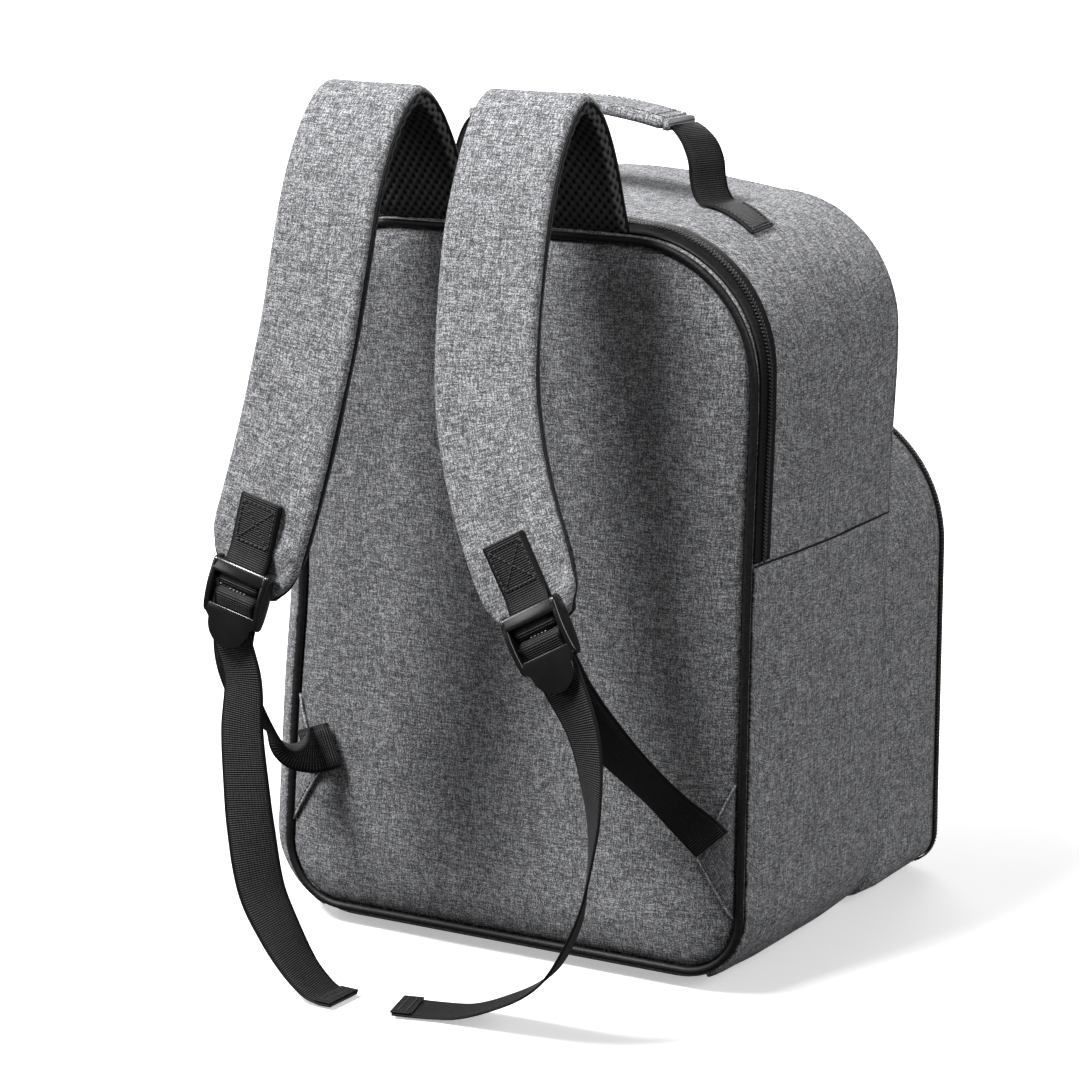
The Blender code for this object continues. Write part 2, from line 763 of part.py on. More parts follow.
def make_end_webbing(side, label, group):
    """The webbing sewn on the strap's end, doubled round the anchor bar."""
    frame = buckle_frame(side)
    radius = ANCHOR_BAR + GAP + WEBBING / 2
    under = WEBBING / 2
    over = under + WEBBING + GAP
    places = [to_world(frame, 0.0, v, under) for v in (-PATCH_LENGTH, 0.0, ANCHOR_BAR_DOWN / 2)]
    places += bar_turn(frame, radius, ANCHOR_BAR_DOWN, ANCHOR_BAR_OUT, 180, 0, 6)
    places += in_buckle(frame, SEWN_RETURN_ROWS)
    places += [to_world(frame, 0.0, v, over) for v in (-0.2 * PATCH_LENGTH, -PATCH_LENGTH)]
    stations = [(place, frame[1]) for place in places]
    ribbon(f"strap_end_webbing_{label}", stations, WEBBING, DARK_CLOTH, group)


def tab_corners(side):
    """The corner tab's ends on the panel's edge and its tip, on its outer face."""
    height = PIPING_TOP - PIPING_BOTTOM
    clearance = PIPING_RADIUS + 3 * GAP
    y = BACK + PIPING_RADIUS - PANEL_PAD - GAP - TAB_THICKNESS
    low = TAB_HEIGHT_RIGHT if side > 0 else TAB_HEIGHT_LEFT

    def on_edge(z):
        share = (z - PIPING_BOTTOM) / height
        return Vector((side * (edge_reach(share, side) - clearance), y, z))

    tip = on_edge(low + TAB_TIP * TAB_LENGTH) - Vector((side * TAB_REACH, 0, 0))
    return on_edge(low), on_edge(low + TAB_LENGTH), tip


def make_tab(side, label, group):
    """The flat cloth triangle that holds the webbing at a lower corner."""
    corners = tab_corners(side)
    name = f"corner_tab_{label}"
    inner = [corner + Vector((0, TAB_THICKNESS, 0)) for corner in corners]
    add_object(name, loft(name, [corners, inner], True, True), GREY_CLOTH, group)


def smooth_curve(start, start_pull, end, end_pull, steps):
    """Points on a cubic curve between two ends with a pull at each."""
    points = []
    for step in range(steps + 1):
        t = step / steps
        s = 1 - t
        points.append(start * s**3 + (start + start_pull) * (3 * s * s * t)
                      + (end + end_pull) * (3 * s * t * t) + end * t**3)
    return points


def load_stations(side, frame):
    """The load webbing from under its corner tab to the buckle. The left one first
    runs inwards from its tab, folds back over itself and turns edge-on."""
    across = frame[1]
    entry = in_buckle(frame, LOAD_ENTRY_ROWS)[0]
    _, high, tip = tab_corners(side)
    edge = (high - tip).normalized()
    away = Vector((-side * abs(edge.z), 0, abs(edge.x)))
    out = Vector((0, -1, 0))
    start = tip + edge * (WEBBING_WIDTH / 2) - away * WEBBING_TUCK + out * (GAP + WEBBING / 2)
    stations = []
    facing = 1
    turn_start, turn_end = LOAD_TURN_RIGHT
    if side < 0:
        facing = -1
        turn_start, turn_end = LOAD_TURN_LEFT
        stations.append((start, -edge))
        axis = start + away * LOAD_FOLD + out * FOLD_RADIUS
        for step in range(FOLD_STEPS + 1):
            angle = pi * (step / FOLD_STEPS - 0.5)
            place = axis + (away * cos(angle) + out * sin(angle)) * FOLD_RADIUS
            stations.append((place, -edge))
        start = stations[-1][0] - away * FOLD_RUN + out * GAP
        away = FOLD_AWAY

    reach = (entry - start).length
    sag = LOAD_SAG_RIGHT if side > 0 else LOAD_SAG_LEFT
    start_pull = away * (LOAD_RUN * reach) + Vector((0, -0.02, 0.08)) * (reach * facing)
    route = smooth_curve(start, start_pull, entry, frame[2] * (sag * reach), LOAD_STEPS)
    for step, place in enumerate(route):
        ahead = route[min(step + 1, LOAD_STEPS)] - route[max(step - 1, 0)]
        flat = ahead.cross(out).normalized() if side > 0 else -edge
        middle = flat.lerp(across, 0.5) if side > 0 else EDGE_ON
        turn = (step / LOAD_STEPS - turn_start) / (turn_end - turn_start)
        turn = min(1.0, max(0.0, turn))
        if turn < 0.5:
            width = flat.lerp(middle, 2 * turn)
        else:
            width = middle.lerp(across * facing, 2 * turn - 1)
        stations.append((place, width.normalized()))
    return stations, across * facing


def make_adjust_webbing(side, label, tail_rows, group):
    """One webbing from the corner tab up behind the buckle, over the slide bar
    and down again as the loose tail that ends on the floor."""
    frame = buckle_frame(side)
    stations, width = load_stations(side, frame)
    radius = SLIDE_BAR + GAP + WEBBING / 2
    behind_bar = in_buckle(frame, LOAD_ENTRY_ROWS)[1]
    tail_exit = in_buckle(frame, TAIL_EXIT_ROWS)
    places = [behind_bar, *bar_turn(frame, radius, SLIDE_BAR_DOWN, SLIDE_BAR_OUT, -180, 20, 8), *tail_exit]
    stations += [(place, width) for place in places]

    tail_start = tail_exit[-1]
    drop = tail_start.z
    for down, sideways, out, turn in tail_rows:
        place = tail_start + Vector((sideways, -out, -down)) * drop
        angle = radians(turn)
        stations.append((place, side * Vector((cos(angle), sin(angle), 0))))
    ribbon(f"adjust_webbing_{label}", stations, WEBBING, DARK_CLOTH, group)


def top_height(outline, x):
    """Height of the body's top at a sideways place on its outline."""
    for a, b in zip(outline, outline[1:]):
        if a.z > SIDE_POCKET_TOP and b.x <= x <= a.x:
            return a.z + (b.z - a.z) * (x - a.x) / (b.x - a.x)
    return PIPING_TOP


def make_handle_strap(side, label, group):
    """The handle's webbing from its foot, sewn on the top and turned towards the
    wearer's side, up to the grip."""
    turn = radians(HANDLE_TURN)
    foot_width = Vector((side * sin(turn), cos(turn), 0))
    foot_along = Vector((side * cos(turn), -sin(turn), 0))
    inner = Vector((side * HANDLE_HALF_SPAN, BACK + HANDLE_PLACE * BODY_DEPTH, 0))

    def on_top(place):
        outline = body_section(body_row((place.y - BACK) / BODY_DEPTH), lift=3 * GAP + WEBBING / 2)
        return Vector((place.x, place.y, top_height(outline, place.x)))

    stations = []
    for step in range(FOOT_STEPS + 1):
        middle = inner + foot_along * (HANDLE_FOOT * (1 - step / FOOT_STEPS))
        width = on_top(middle + foot_width * 0.01) - on_top(middle - foot_width * 0.01)
        stations.append((on_top(middle), width.normalized()))
    base = stations[-1][0].z
    rise = HANDLE_TOP - HANDLE_BOW - base
    reach = HANDLE_HALF_SPAN - HANDLE_GRIP_HALF
    for inwards, up, share in HANDLE_ROWS:
        place = Vector((inner.x - side * inwards * reach, inner.y, base + up * rise))
        stations.append((place, Vector((side * sin(turn * share), cos(turn * share), 0))))
    ribbon(f"handle_strap_{label}", stations, WEBBING, DARK_CLOTH, group)


def make_handle_grip(group):
    """The padded grip: a flat bar that bows up towards its middle."""
    y = BACK + HANDLE_PLACE * BODY_DEPTH
    half = HANDLE_GRIP_THICKNESS / 2
    steps = 8
    rings = []
    for step in range(steps + 1):
        share = step / steps
        x = HANDLE_GRIP_HALF * (2 * share - 1)
        z = HANDLE_TOP - HANDLE_BOW * (1 - sin(pi * share))
        tilt = atan2(HANDLE_BOW * pi * cos(pi * share), 2 * HANDLE_GRIP_HALF)
        outward = Vector((-sin(tilt), 0, cos(tilt)))
        across = Vector((0, 1, 0))
        rings.append(slab(Vector((x, y, z)), across, outward, HANDLE_GRIP_WIDTH, -half, half, half / 2))
    add_object("handle_grip", loft("handle_grip", rings, True, True), GREY_CLOTH, group)


def main():
    clear_scene()
    group = make_collection("picnic_cooler_backpack")
    tools = make_collection("tools")
    make_body(group)
    make_back_panel(group)
    make_piping(group)
    make_main_zip(group)
    make_pulls(group)
    make_side_pocket("side_pocket_right", slice(RIGHT_FOOT + 2, RIGHT_POCKET_LINE + 1), group)
    make_side_pocket("side_pocket_left", slice(LEFT_POCKET_LINE, LEFT_FOOT - 1), group)
    make_front_pocket(group)
    for side, label in ((1, "right"), (-1, "left")):
        make_strap(side, label, group)
        make_end_webbing(side, label, group)
        make_buckle(side, label, group, tools)
        make_tab(side, label, group)
        make_handle_strap(side, label, group)
    make_adjust_webbing(1, "right", TAIL_ROWS_RIGHT, group)
    make_adjust_webbing(-1, "left", TAIL_ROWS_LEFT, group)
    make_handle_grip(group)


main()
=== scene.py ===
"""Looks of a picnic cooler backpack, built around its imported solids."""

from math import atan2, cos, pi, radians, sin

import bmesh
import bpy
import numpy as np
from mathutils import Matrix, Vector, noise


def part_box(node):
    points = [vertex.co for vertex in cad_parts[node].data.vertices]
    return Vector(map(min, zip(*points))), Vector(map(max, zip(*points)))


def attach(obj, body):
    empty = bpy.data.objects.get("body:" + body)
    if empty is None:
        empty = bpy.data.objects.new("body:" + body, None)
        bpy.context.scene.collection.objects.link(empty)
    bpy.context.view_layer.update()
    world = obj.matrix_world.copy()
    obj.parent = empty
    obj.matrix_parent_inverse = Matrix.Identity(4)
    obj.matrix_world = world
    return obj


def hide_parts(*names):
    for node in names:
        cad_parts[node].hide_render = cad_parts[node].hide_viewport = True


# Sizes of the bag, the same as its solids have
PANEL_HALF_WIDTH = 0.1435
PIPING_TOP = 0.389
PIPING_BOTTOM = 0.0105
BODY_DEPTH = 0.168
BODY_WALL = 0.003
SIDE_BULGE = 0.012
TOP_BULGE = 0.0165
TOP_CROWN = 0.0075
TOP_CORNER = 0.070
PIPING_CORNER = 0.033
BOTTOM_CORNER = 0.046
PANEL_PAD = 0.0075
PIPING_RADIUS = 0.0021
GAP = 0.0003
ZIP_START = 0.0045
ZIP_WIDTH = 0.0155
ZIP_TAPE = 0.0009
SIDE_POCKET_TOP = 0.228
SIDE_POCKET_WALL = 0.0012
POCKET_HALF_WIDTH = 0.1375
POCKET_TOP = 0.269
POCKET_BOTTOM = 0.003
POCKET_DEPTH = 0.085
POCKET_WALL = 0.0025
POCKET_TOP_CORNER = 0.078
POCKET_BOTTOM_CORNER = 0.019
POCKET_ZIP_WIDTH = 0.005
POCKET_PAD = 0.006
PULL_WIDTH = 0.007
PULL_LENGTH = 0.024
PULL_THICKNESS = 0.0016
STRAP_WIDTH = 0.0565
STRAP_SPACING = 0.090
STRAP_PAD = 0.0065
STRAP_MESH = 0.0032
STRAP_RISE = 0.0745
STRAP_REACH = 0.113
STRAP_FALL = 0.174
STRAP_SPLAY = 0.043
WEBBING_WIDTH = 0.025
WEBBING = 0.0013
PATCH_LENGTH = 0.0355
BUCKLE_WIDTH = 0.034
BUCKLE_HEIGHT = 0.010
BUCKLE_CHEEK = 0.003
BUCKLE_LENGTH = 0.030
BUCKLE_OVERLAP = 0.012
THUMB_TAB = 0.014
THUMB_TAB_WIDTH = 0.025
THUMB_TAB_THICKNESS = 0.0018
THUMB_TAB_ROOT = 0.0065
ANCHOR_BAR = 0.0016
ANCHOR_BAR_DOWN = 0.0100
ANCHOR_BAR_OUT = 0.0035
SLIDE_BAR = 0.0018
SLIDE_BAR_DOWN = 0.0178
SLIDE_BAR_OUT = 0.0043
TAB_HEIGHT_RIGHT = 0.0435
TAB_HEIGHT_LEFT = 0.056
TAB_LENGTH = 0.0715
TAB_REACH = 0.018
TAB_THICKNESS = 0.0015
TAB_TIP = 0.43
WEBBING_TUCK = 0.004
LOAD_STEPS = 12
LOAD_TURN_RIGHT = (0.25, 0.75)
LOAD_TURN_LEFT = (0.0, 0.55)
LOAD_SAG_RIGHT = 0.26
LOAD_SAG_LEFT = 0.25
LOAD_RUN = 0.20
LOAD_FOLD = 0.019
FOLD_RADIUS = 0.0024
FOLD_RUN = 0.007
FOLD_STEPS = 4
FOLD_AWAY = Vector((-0.8, -0.6, 0.3))
EDGE_ON = Vector((-0.5, 0.85, -0.2))
HANDLE_PLACE = 0.48
FOOT_STEPS = 4
HANDLE_HALF_SPAN = 0.081
HANDLE_TURN = 22
HANDLE_TOP = 0.4475
HANDLE_BOW = 0.008
HANDLE_GRIP_HALF = 0.060
HANDLE_GRIP_WIDTH = 0.030
HANDLE_GRIP_THICKNESS = 0.006
BACK = -BODY_DEPTH / 2
FRONT = BODY_DEPTH / 2
HANDLE_Y = BACK + HANDLE_PLACE * BODY_DEPTH
POCKET_BACK = FRONT + GAP
ZIP_BACK = POCKET_BACK + POCKET_DEPTH - POCKET_ZIP_WIDTH
SIDES = ((1, "right"), (-1, "left"))
OUT = Vector((0, -1, 0))

EDGE_ROWS = (
    # height, left, right
    (0.08, 0.955, 0.972),
    (0.30, 0.915, 0.978),
    (0.52, 0.870, 0.985),
    (0.78, 0.930, 1.005),
)
BODY_ROWS = (
    # depth, left, right, top, bottom, turned_in
    (0.016, 0.00, 0.00, 0.00, 0.00, 0.0),
    (0.027, 0.30, 0.02, 0.20, 0.35, 0.0),
    (0.119, 1.25, 0.08, 0.70, 1.00, 0.0),
    (0.300, 1.65, 0.30, 0.90, 1.00, 0.0),
    (0.550, 1.65, 0.38, 1.00, 1.00, 0.0),
    (0.800, 1.50, 0.34, 1.00, 1.00, 0.0),
    (0.940, 1.35, 0.28, 1.00, 1.00, 0.0),
    (0.985, 1.30, 0.25, 1.00, 1.00, 0.6),
    (1.000, 1.20, 0.20, 1.00, 1.00, 1.8),
)
STRAP_ROWS = (
    # out, up, right, left, width, thick
    (0.000, 0.035, 0.00, 0.00, 1.00, 0.35),
    (0.020, 0.150, 0.00, 0.02, 1.00, 0.75),
    (0.090, 0.480, 0.00, 0.05, 1.00, 1.00),
    (0.190, 0.790, 0.00, 0.08, 1.00, 1.00),
    (0.290, 0.950, 0.00, 0.10, 1.00, 1.00),
    (0.390, 1.000, 0.00, 0.11, 1.00, 1.00),
    (0.490, 0.930, 0.00, 0.13, 1.00, 1.00),
    (0.590, 0.760, 0.00, 0.15, 1.00, 1.00),
    (0.670, 0.540, 0.00, 0.17, 1.00, 1.00),
    (0.740, 0.270, 0.00, 0.19, 1.00, 1.00),
    (0.800, -0.030, 0.00, 0.21, 1.00, 1.00),
    (0.850, -0.215, 0.00, 0.28, 1.00, 1.00),
    (0.890, -0.390, 0.06, 0.39, 1.00, 1.00),
    (0.925, -0.550, 0.20, 0.50, 1.00, 1.00),
    (0.955, -0.710, 0.41, 0.65, 1.00, 1.00),
    (0.975, -0.870, 0.68, 0.82, 0.98, 1.00),
    (0.980, -0.960, 0.88, 0.91, 0.84, 0.85),
    (0.980, -1.010, 1.02, 0.99, 0.60, 0.55),
)
CHEEK_ROWS = (
    # down, out
    (0.00, 0.12),
    (0.00, 0.75),
    (0.17, 0.90),
    (0.43, 1.00),
    (0.70, 0.98),
    (0.93, 0.85),
    (1.00, 0.60),
    (0.95, 0.30),
    (0.67, 0.10),
    (0.33, 0.04),
)
TOP_PLATE_ROWS = (
    # down, out
    (0.010, 0.54),
    (0.010, 0.74),
    (0.120, 0.87),
    (0.215, 0.90),
    (0.215, 0.72),
    (0.120, 0.66),
)
LOAD_ENTRY_ROWS = (
    # down, out
    (1.13, 0.12),
    (0.79, 0.13),
)
TAIL_EXIT_ROWS = (
    # down, out
    (0.80, 0.54),
    (0.95, 0.44),
    (1.20, 0.40),
)
SEWN_RETURN_ROWS = (
    # down, out
    (0.15, 0.51),
    (0.00, 0.40),
)
TAIL_ROWS_RIGHT = (
    # down, side, out, turn
    (0.15, 0.068, -0.005, -20),
    (0.32, 0.092, -0.005, -42),
    (0.44, 0.086, -0.010, -56),
    (0.57, 0.064, -0.015, -66),
    (0.68, 0.026, -0.025, -76),
    (0.80, -0.051, -0.055, -80),
    (0.877, -0.138, -0.085, -82),
    (0.943, -0.255, -0.110, -84),
    (0.982, -0.350, -0.120, -87),
    (0.992, -0.420, -0.115, -90),
    (0.992, -0.535, -0.085, -95),
)
TAIL_ROWS_LEFT = (
    # down, side, out, turn
    (0.13, 0.028, -0.010, -4),
    (0.28, 0.020, -0.014, 6),
    (0.42, 0.027, -0.017, 16),
    (0.54, 0.037, -0.020, 28),
    (0.71, 0.064, -0.026, 48),
    (0.824, 0.112, -0.038, 62),
    (0.922, 0.167, -0.053, 75),
    (0.974, 0.217, -0.060, 80),
    (0.992, 0.259, -0.062, 86),
    (0.992, 0.301, -0.060, 88),
)
PAD_ROWS = (
    # distance from the piping, share of the pad's thickness
    (0.0000, 0.00),
    (0.0008, 0.25),
    (0.0030, 0.45),
    (0.0070, 0.66),
    (0.0130, 0.84),
    (0.0200, 0.96),
    (0.0260, 1.00),
)
FRONT_PAD_ROWS = (
    # share of the pad's thickness, turned in
    (0.00, 0.00),
    (0.30, 0.00),
    (0.55, 0.08),
    (0.75, 0.25),
    (0.90, 0.50),
    (0.98, 0.90),
    (1.00, 1.40),
)
SWELL_ROWS = (
    # depth, share of the swell
    (0.016, 0.0),
    (0.060, 1.0),
    (0.110, 0.9),
    (0.250, 0.0),
)
HANDLE_ROWS = (
    # inwards, up, turn
    (0.17, 0.12, 1.00),
    (0.26, 0.30, 1.00),
    (0.32, 0.54, 1.00),
    (0.50, 0.76, 0.90),
    (0.76, 0.91, 0.60),
    (0.96, 0.98, 0.40),
)

# Sizes of details that only the looks have
RIB_PITCH = 0.00114
RIB_HEIGHT = 0.00008
DASH_PITCH = 0.0016
SELVEDGE = 0.0016
CELL_WIDTH = 0.0052
CELL_LENGTH = 0.0066
TOOTH_PITCH = 0.00195
TOOTH_LENGTH = 0.0034
TOOTH_RADIUS = 0.00062
BINDING_RADIUS = 0.0011
HEM_LENGTH = 0.010
HEM_ROWS = (0.003, 0.0075)
BODY_START_SHARE = 0.016
ZIP_END_SHARE = 0.119
SIDE_POCKET_END_SHARE = 0.94
FRONT_SEAM_SHARE = 0.972
LEFT_SIDE = -0.1
SWELL_BASE = 0.006
WIDE_SLUMP = 0.0009
NARROW_SLUMP = 0.00035
TOOTH_REACH = 0.62
TOOTH_SLANT = 0.45
TOOTH_ROOT = 0.0004
ROD_POINT = 0.12
PAD_EDGE = 0.0042
MESH_EDGE = 0.0018
MESH_INSET = 0.0006
REAR_REACH = 0.45
TIP_DENT = 0.0042
TIP_DENT_REACH = 0.06
BOX_HALF = 0.0098
BOX_MARGIN = 0.003
BOX_LOW = 0.33
GRIP_EDGE = 0.003
MOUTH_SHARE = 0.78
MOUTH_DEPTH = 0.004
GRIP_SEAM_INSET = 0.0032
GRIP_SEAM_GAP = 0.006
SEAM_RADIUS = 0.0007
RIM_RADIUS = 0.00055
TAB_EDGE_RADIUS = 0.0006
STRAP_STEP = 0.004
CLOTH_SHARE = 0.48
REAR_CLOTH_SHARE = 0.22
LOOP_SLACK = 0.0005
LEFT_SWELL = 0.0032
FOOT_LENGTH = 0.036
STITCH_PITCH = 0.0030
STITCH_LENGTH = 0.0023
STITCH_RADIUS = 0.00028
THICK_STITCH = STITCH_RADIUS * 1.4
SWELL_FADE = 0.03
WELD_DISTANCE = 0.00002

# Steps of curved outlines and sides of round rods
ARC_STEPS = 18
FLAT_STEPS = 30
SIDE_STEPS = 30
POCKET_STEPS = 16
POCKET_TOP_STEPS = 10
SECTION_STEPS = 14
ROUND_STEPS = 6
TAB_STEPS = 16
GRIP_STEPS = 44
ROD_SIDES = 12
STITCH_SIDES = 6
BAR_SIDES = 20

# The camera and the studio
LENS = 119.5
SENSOR = 36
CAMERA_PLACE = (0.9256, -1.6496, 0.6369)
CAMERA_TILT = 77.3
CAMERA_TURN = 30
FLOOR_REACH = 30.0
FLOOR_LEVEL = -0.0008
FLOOR_GLOW = 0.40
SKY_STRENGTH = 0.08
LIGHT_ROWS = (
    # name, bearing round from the wearer's side towards +X, elevation, strength, spread
    ("key", -30, 56, 5.2, 18),
    ("side", 82, 30, 1.6, 40),
    ("left", -76, 24, 0.9, 26),
    ("glint", -49, 14, 0.35, 22),
    ("back", 205, 28, 1.4, 40),
)

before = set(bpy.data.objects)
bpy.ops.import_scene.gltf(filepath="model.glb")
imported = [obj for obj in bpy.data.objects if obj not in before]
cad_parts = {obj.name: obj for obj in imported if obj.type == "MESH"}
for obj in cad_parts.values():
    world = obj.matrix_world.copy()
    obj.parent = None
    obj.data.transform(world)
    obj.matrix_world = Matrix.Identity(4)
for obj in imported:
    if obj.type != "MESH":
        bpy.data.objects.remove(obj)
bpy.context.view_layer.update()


def new_material(name, roughness, specular):
    material = bpy.data.materials.new(name)
    material.use_nodes = True
    shader = material.node_tree.nodes["Principled BSDF"]
    shader.inputs["Roughness"].default_value = roughness
    shader.inputs["Specular IOR Level"].default_value = specular
    return material, material.node_tree, shader


def add_node(tree, kind, inputs=None, **settings):
    item = tree.nodes.new(kind)
    for key, value in settings.items():
        setattr(item, key, value)
    for key, value in (inputs or {}).items():
        if isinstance(value, bpy.types.NodeSocket):
            tree.links.new(value, item.inputs[key])
        else:
            item.inputs[key].default_value = value
    return item


def maths(tree, operation, first, second=0.0, third=0.0):
    item = add_node(tree, "ShaderNodeMath", {0: first, 1: second, 2: third}, operation=operation)
    return item.outputs[0]


def weave_coordinates(tree):
    """Coordinates that run with the cloth, in metres."""
    return add_node(tree, "ShaderNodeUVMap", uv_map="weave").outputs["UV"]


def stretched_noise(tree, vector, scale_u, scale_v, detail=2.0, seed=0.0):
    shift = (3.1 + seed, 7.7 - seed, 0.37 + seed)
    mapping = add_node(tree, "ShaderNodeMapping",
                       {"Vector": vector, "Location": shift, "Scale": (scale_u, scale_v, 1.0)})
    inputs = {"Vector": mapping.outputs[0], "Scale": 1.0, "Detail": detail, "Roughness": 0.6}
    return add_node(tree, "ShaderNodeTexNoise", inputs).outputs[0]


def object_noise(tree, scale, detail=2.0):
    place = add_node(tree, "ShaderNodeTexCoord").outputs["Object"]
    inputs = {"Vector": place, "Scale": scale, "Detail": detail}
    return add_node(tree, "ShaderNodeTexNoise", inputs).outputs[0]


def paint(tree, shader, value, stops):
    """Colour a material by a ramp of (place, colour) stops over a value."""
    item = add_node(tree, "ShaderNodeValToRGB", {"Fac": value})
    elements = item.color_ramp.elements
    elements[0].position, elements[0].color = stops[0][0], (*stops[0][1], 1)
    elements[1].position, elements[1].color = stops[-1][0], (*stops[-1][1], 1)
    for place, colour in stops[1:-1]:
        elements.new(place).color = (*colour, 1)
    tree.links.new(item.outputs["Color"], shader.inputs["Base Color"])


def bump(tree, shader, height, distance, strength=1.0):
    item = add_node(tree, "ShaderNodeBump", {"Height": height, "Distance": distance, "Strength": strength})
    tree.links.new(item.outputs[0], shader.inputs["Normal"])


def cloth_material(name, light=1.0):
    """Grey woven cloth of mixed light and dark yarns, made darker overall by a lightness below 1, which
    paints shade into it.
    """
    material, tree, shader = new_material(name, 0.92, 0.2)
    vector = weave_coordinates(tree)
    weft = stretched_noise(tree, vector, 210, 1700, 1.0, 0.11)
    warp = stretched_noise(tree, vector, 1700, 260, 1.0, 0.23)
    fleck = stretched_noise(tree, vector, 1600, 1500, 1.0, 0.41)
    cloud = stretched_noise(tree, vector, 110, 70, 2.0, 0.17)
    streaks = maths(tree, "ADD", weft, warp)
    mixed = maths(tree, "MULTIPLY_ADD", streaks, 0.30, maths(tree, "MULTIPLY", fleck, 0.52))
    tone = maths(tree, "MULTIPLY_ADD", cloud, 0.05, mixed)
    paint(tree, shader, tone, (
        (0.44, tuple(light * c for c in (0.040, 0.040, 0.043))),
        (0.58, tuple(light * c for c in (0.165, 0.167, 0.175))),
        (0.74, tuple(light * c for c in (0.64, 0.645, 0.665))),
    ))
    bump(tree, shader, tone, 0.0002, 0.5)
    return material


def webbing_material(name):
    """Black webbing: its ribs across it painted pale as a highlight, broken into dashes, and dark edges
    without it; the ribs are bumped too.
    """
    material, tree, shader = new_material(name, 0.6, 0.25)
    vector = weave_coordinates(tree)
    split = add_node(tree, "ShaderNodeSeparateXYZ", {"Vector": vector})
    u, v = split.outputs[0], split.outputs[1]
    wave = maths(tree, "COSINE", maths(tree, "MULTIPLY", v, 2 * pi / RIB_PITCH))
    rib = maths(tree, "POWER", maths(tree, "MULTIPLY_ADD", wave, 0.5, 0.5), 3.0)
    dash = maths(tree, "COSINE", maths(tree, "MULTIPLY", u, 2 * pi / DASH_PITCH))
    broken = maths(tree, "MULTIPLY_ADD", dash, 0.22, 0.78)
    inside = maths(tree, "LESS_THAN", maths(tree, "ABSOLUTE", u), WEBBING_WIDTH / 2 - SELVEDGE)
    fine = stretched_noise(tree, vector, 900, 500, 2.0)
    tone = maths(tree, "MULTIPLY", maths(tree, "MULTIPLY", rib, broken), inside)
    painted_rib_highlight = maths(tree, "MULTIPLY", tone, maths(tree, "MULTIPLY_ADD", fine, 1.2, 0.4))
    # The pale rib crests are a painted highlight, not the webbing's own colour
    paint(tree, shader, painted_rib_highlight, (
        (0.05, (0.0025, 0.0025, 0.0027)),
        (0.35, (0.014, 0.014, 0.0145)),
        (0.90, (0.110, 0.110, 0.113)),
    ))
    bump(tree, shader, tone, 0.0003)
    return material


def trim_material(name):
    """Black woven tape with a soft sheen."""
    material, tree, shader = new_material(name, 0.5, 0.3)
    thread = stretched_noise(tree, weave_coordinates(tree), 900, 900)
    paint(tree, shader, thread, ((0.35, (0.003, 0.003, 0.0032)), (0.7, (0.014, 0.014, 0.015))))
    bump(tree, shader, thread, 0.0002)
    return material


def mesh_material(name):
    """Black spacer mesh with staggered open cells, painted near-black as the shade inside them."""
    material, tree, shader = new_material(name, 0.8, 0.2)
    split = add_node(tree, "ShaderNodeSeparateXYZ", {"Vector": weave_coordinates(tree)})
    across = maths(tree, "MULTIPLY", split.outputs[0], 2 * pi / CELL_WIDTH)
    along = maths(tree, "MULTIPLY", split.outputs[1], 2 * pi / CELL_LENGTH)
    rising = maths(tree, "COSINE", maths(tree, "ADD", across, along))
    falling = maths(tree, "COSINE", maths(tree, "SUBTRACT", across, along))
    wall = maths(tree, "MULTIPLY_ADD", maths(tree, "ADD", rising, falling), 0.25, 0.5)
    # The ramp's lowest stop paints the cells near-black: painted shade inside the holes
    paint(tree, shader, wall, (
        (0.18, (0.001, 0.001, 0.001)),
        (0.34, (0.052, 0.052, 0.053)),
        (1.00, (0.095, 0.095, 0.098)),
    ))
    bump(tree, shader, wall, 0.0008)
    return material


def plastic_material(name, tone=0.007, specular=0.8):
    """Satin moulded plastic with a fine grain."""
    material, tree, shader = new_material(name, 0.34, specular)
    grain = object_noise(tree, 1800.0)
    haze = object_noise(tree, 90.0)
    paint(tree, shader, haze, ((0.3, (0.6 * tone,) * 3), (0.7, (1.2 * tone,) * 3)))
    tree.links.new(maths(tree, "MULTIPLY_ADD", grain, 0.10, 0.18), shader.inputs["Roughness"])
    bump(tree, shader, grain, 0.00004)
    return material


def thread_material(name, colour):
    material, tree, shader = new_material(name, 0.6, 0.5)
    dark = tuple(0.5 * c for c in colour)
    paint(tree, shader, object_noise(tree, 2500.0, 1.0), ((0.3, dark), (0.7, colour)))
    shader.inputs["Sheen Weight"].default_value = 0.1
    return material


# The body and back panel cloths are darker copies of the strap cloth: painted shade, slight on the body and
# strong on the panel
GREY = cloth_material("strap_cloth")
BODY_SHADED_GREY = cloth_material("body_cloth", 0.95)
PANEL_SHADED_GREY = cloth_material("panel_cloth", 0.70)
TRIM = trim_material("dark_trim")
WEB = webbing_material("webbing")
SPACER = mesh_material("spacer_mesh")
PLASTIC = plastic_material("black_plastic")
DARK_THREAD = thread_material("dark_thread", (0.030, 0.030, 0.032))
GREY_THREAD = thread_material("grey_thread", (0.16, 0.16, 0.17))
# The teeth are a lighter grey than the tape, partly their own colour and partly a painted highlight
NYLON = plastic_material("black_nylon", 0.05, 0.15)
# Paler plastic for the small teeth between the buckle's bars
PALE_PLASTIC = plastic_material("pale_plastic", 0.16)


def finish_piece(item, nodes=()):
    """Every piece rides on the one body, and stands for the nodes it replaces."""
    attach(item, "root")
    if nodes:
        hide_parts(*nodes)


def new_object(name, data):
    item = bpy.data.objects.new(name, data)
    bpy.context.scene.collection.objects.link(item)
    return item


def make_item(name, mesh, material):
    mesh.materials.append(material)
    return new_object(name, mesh)


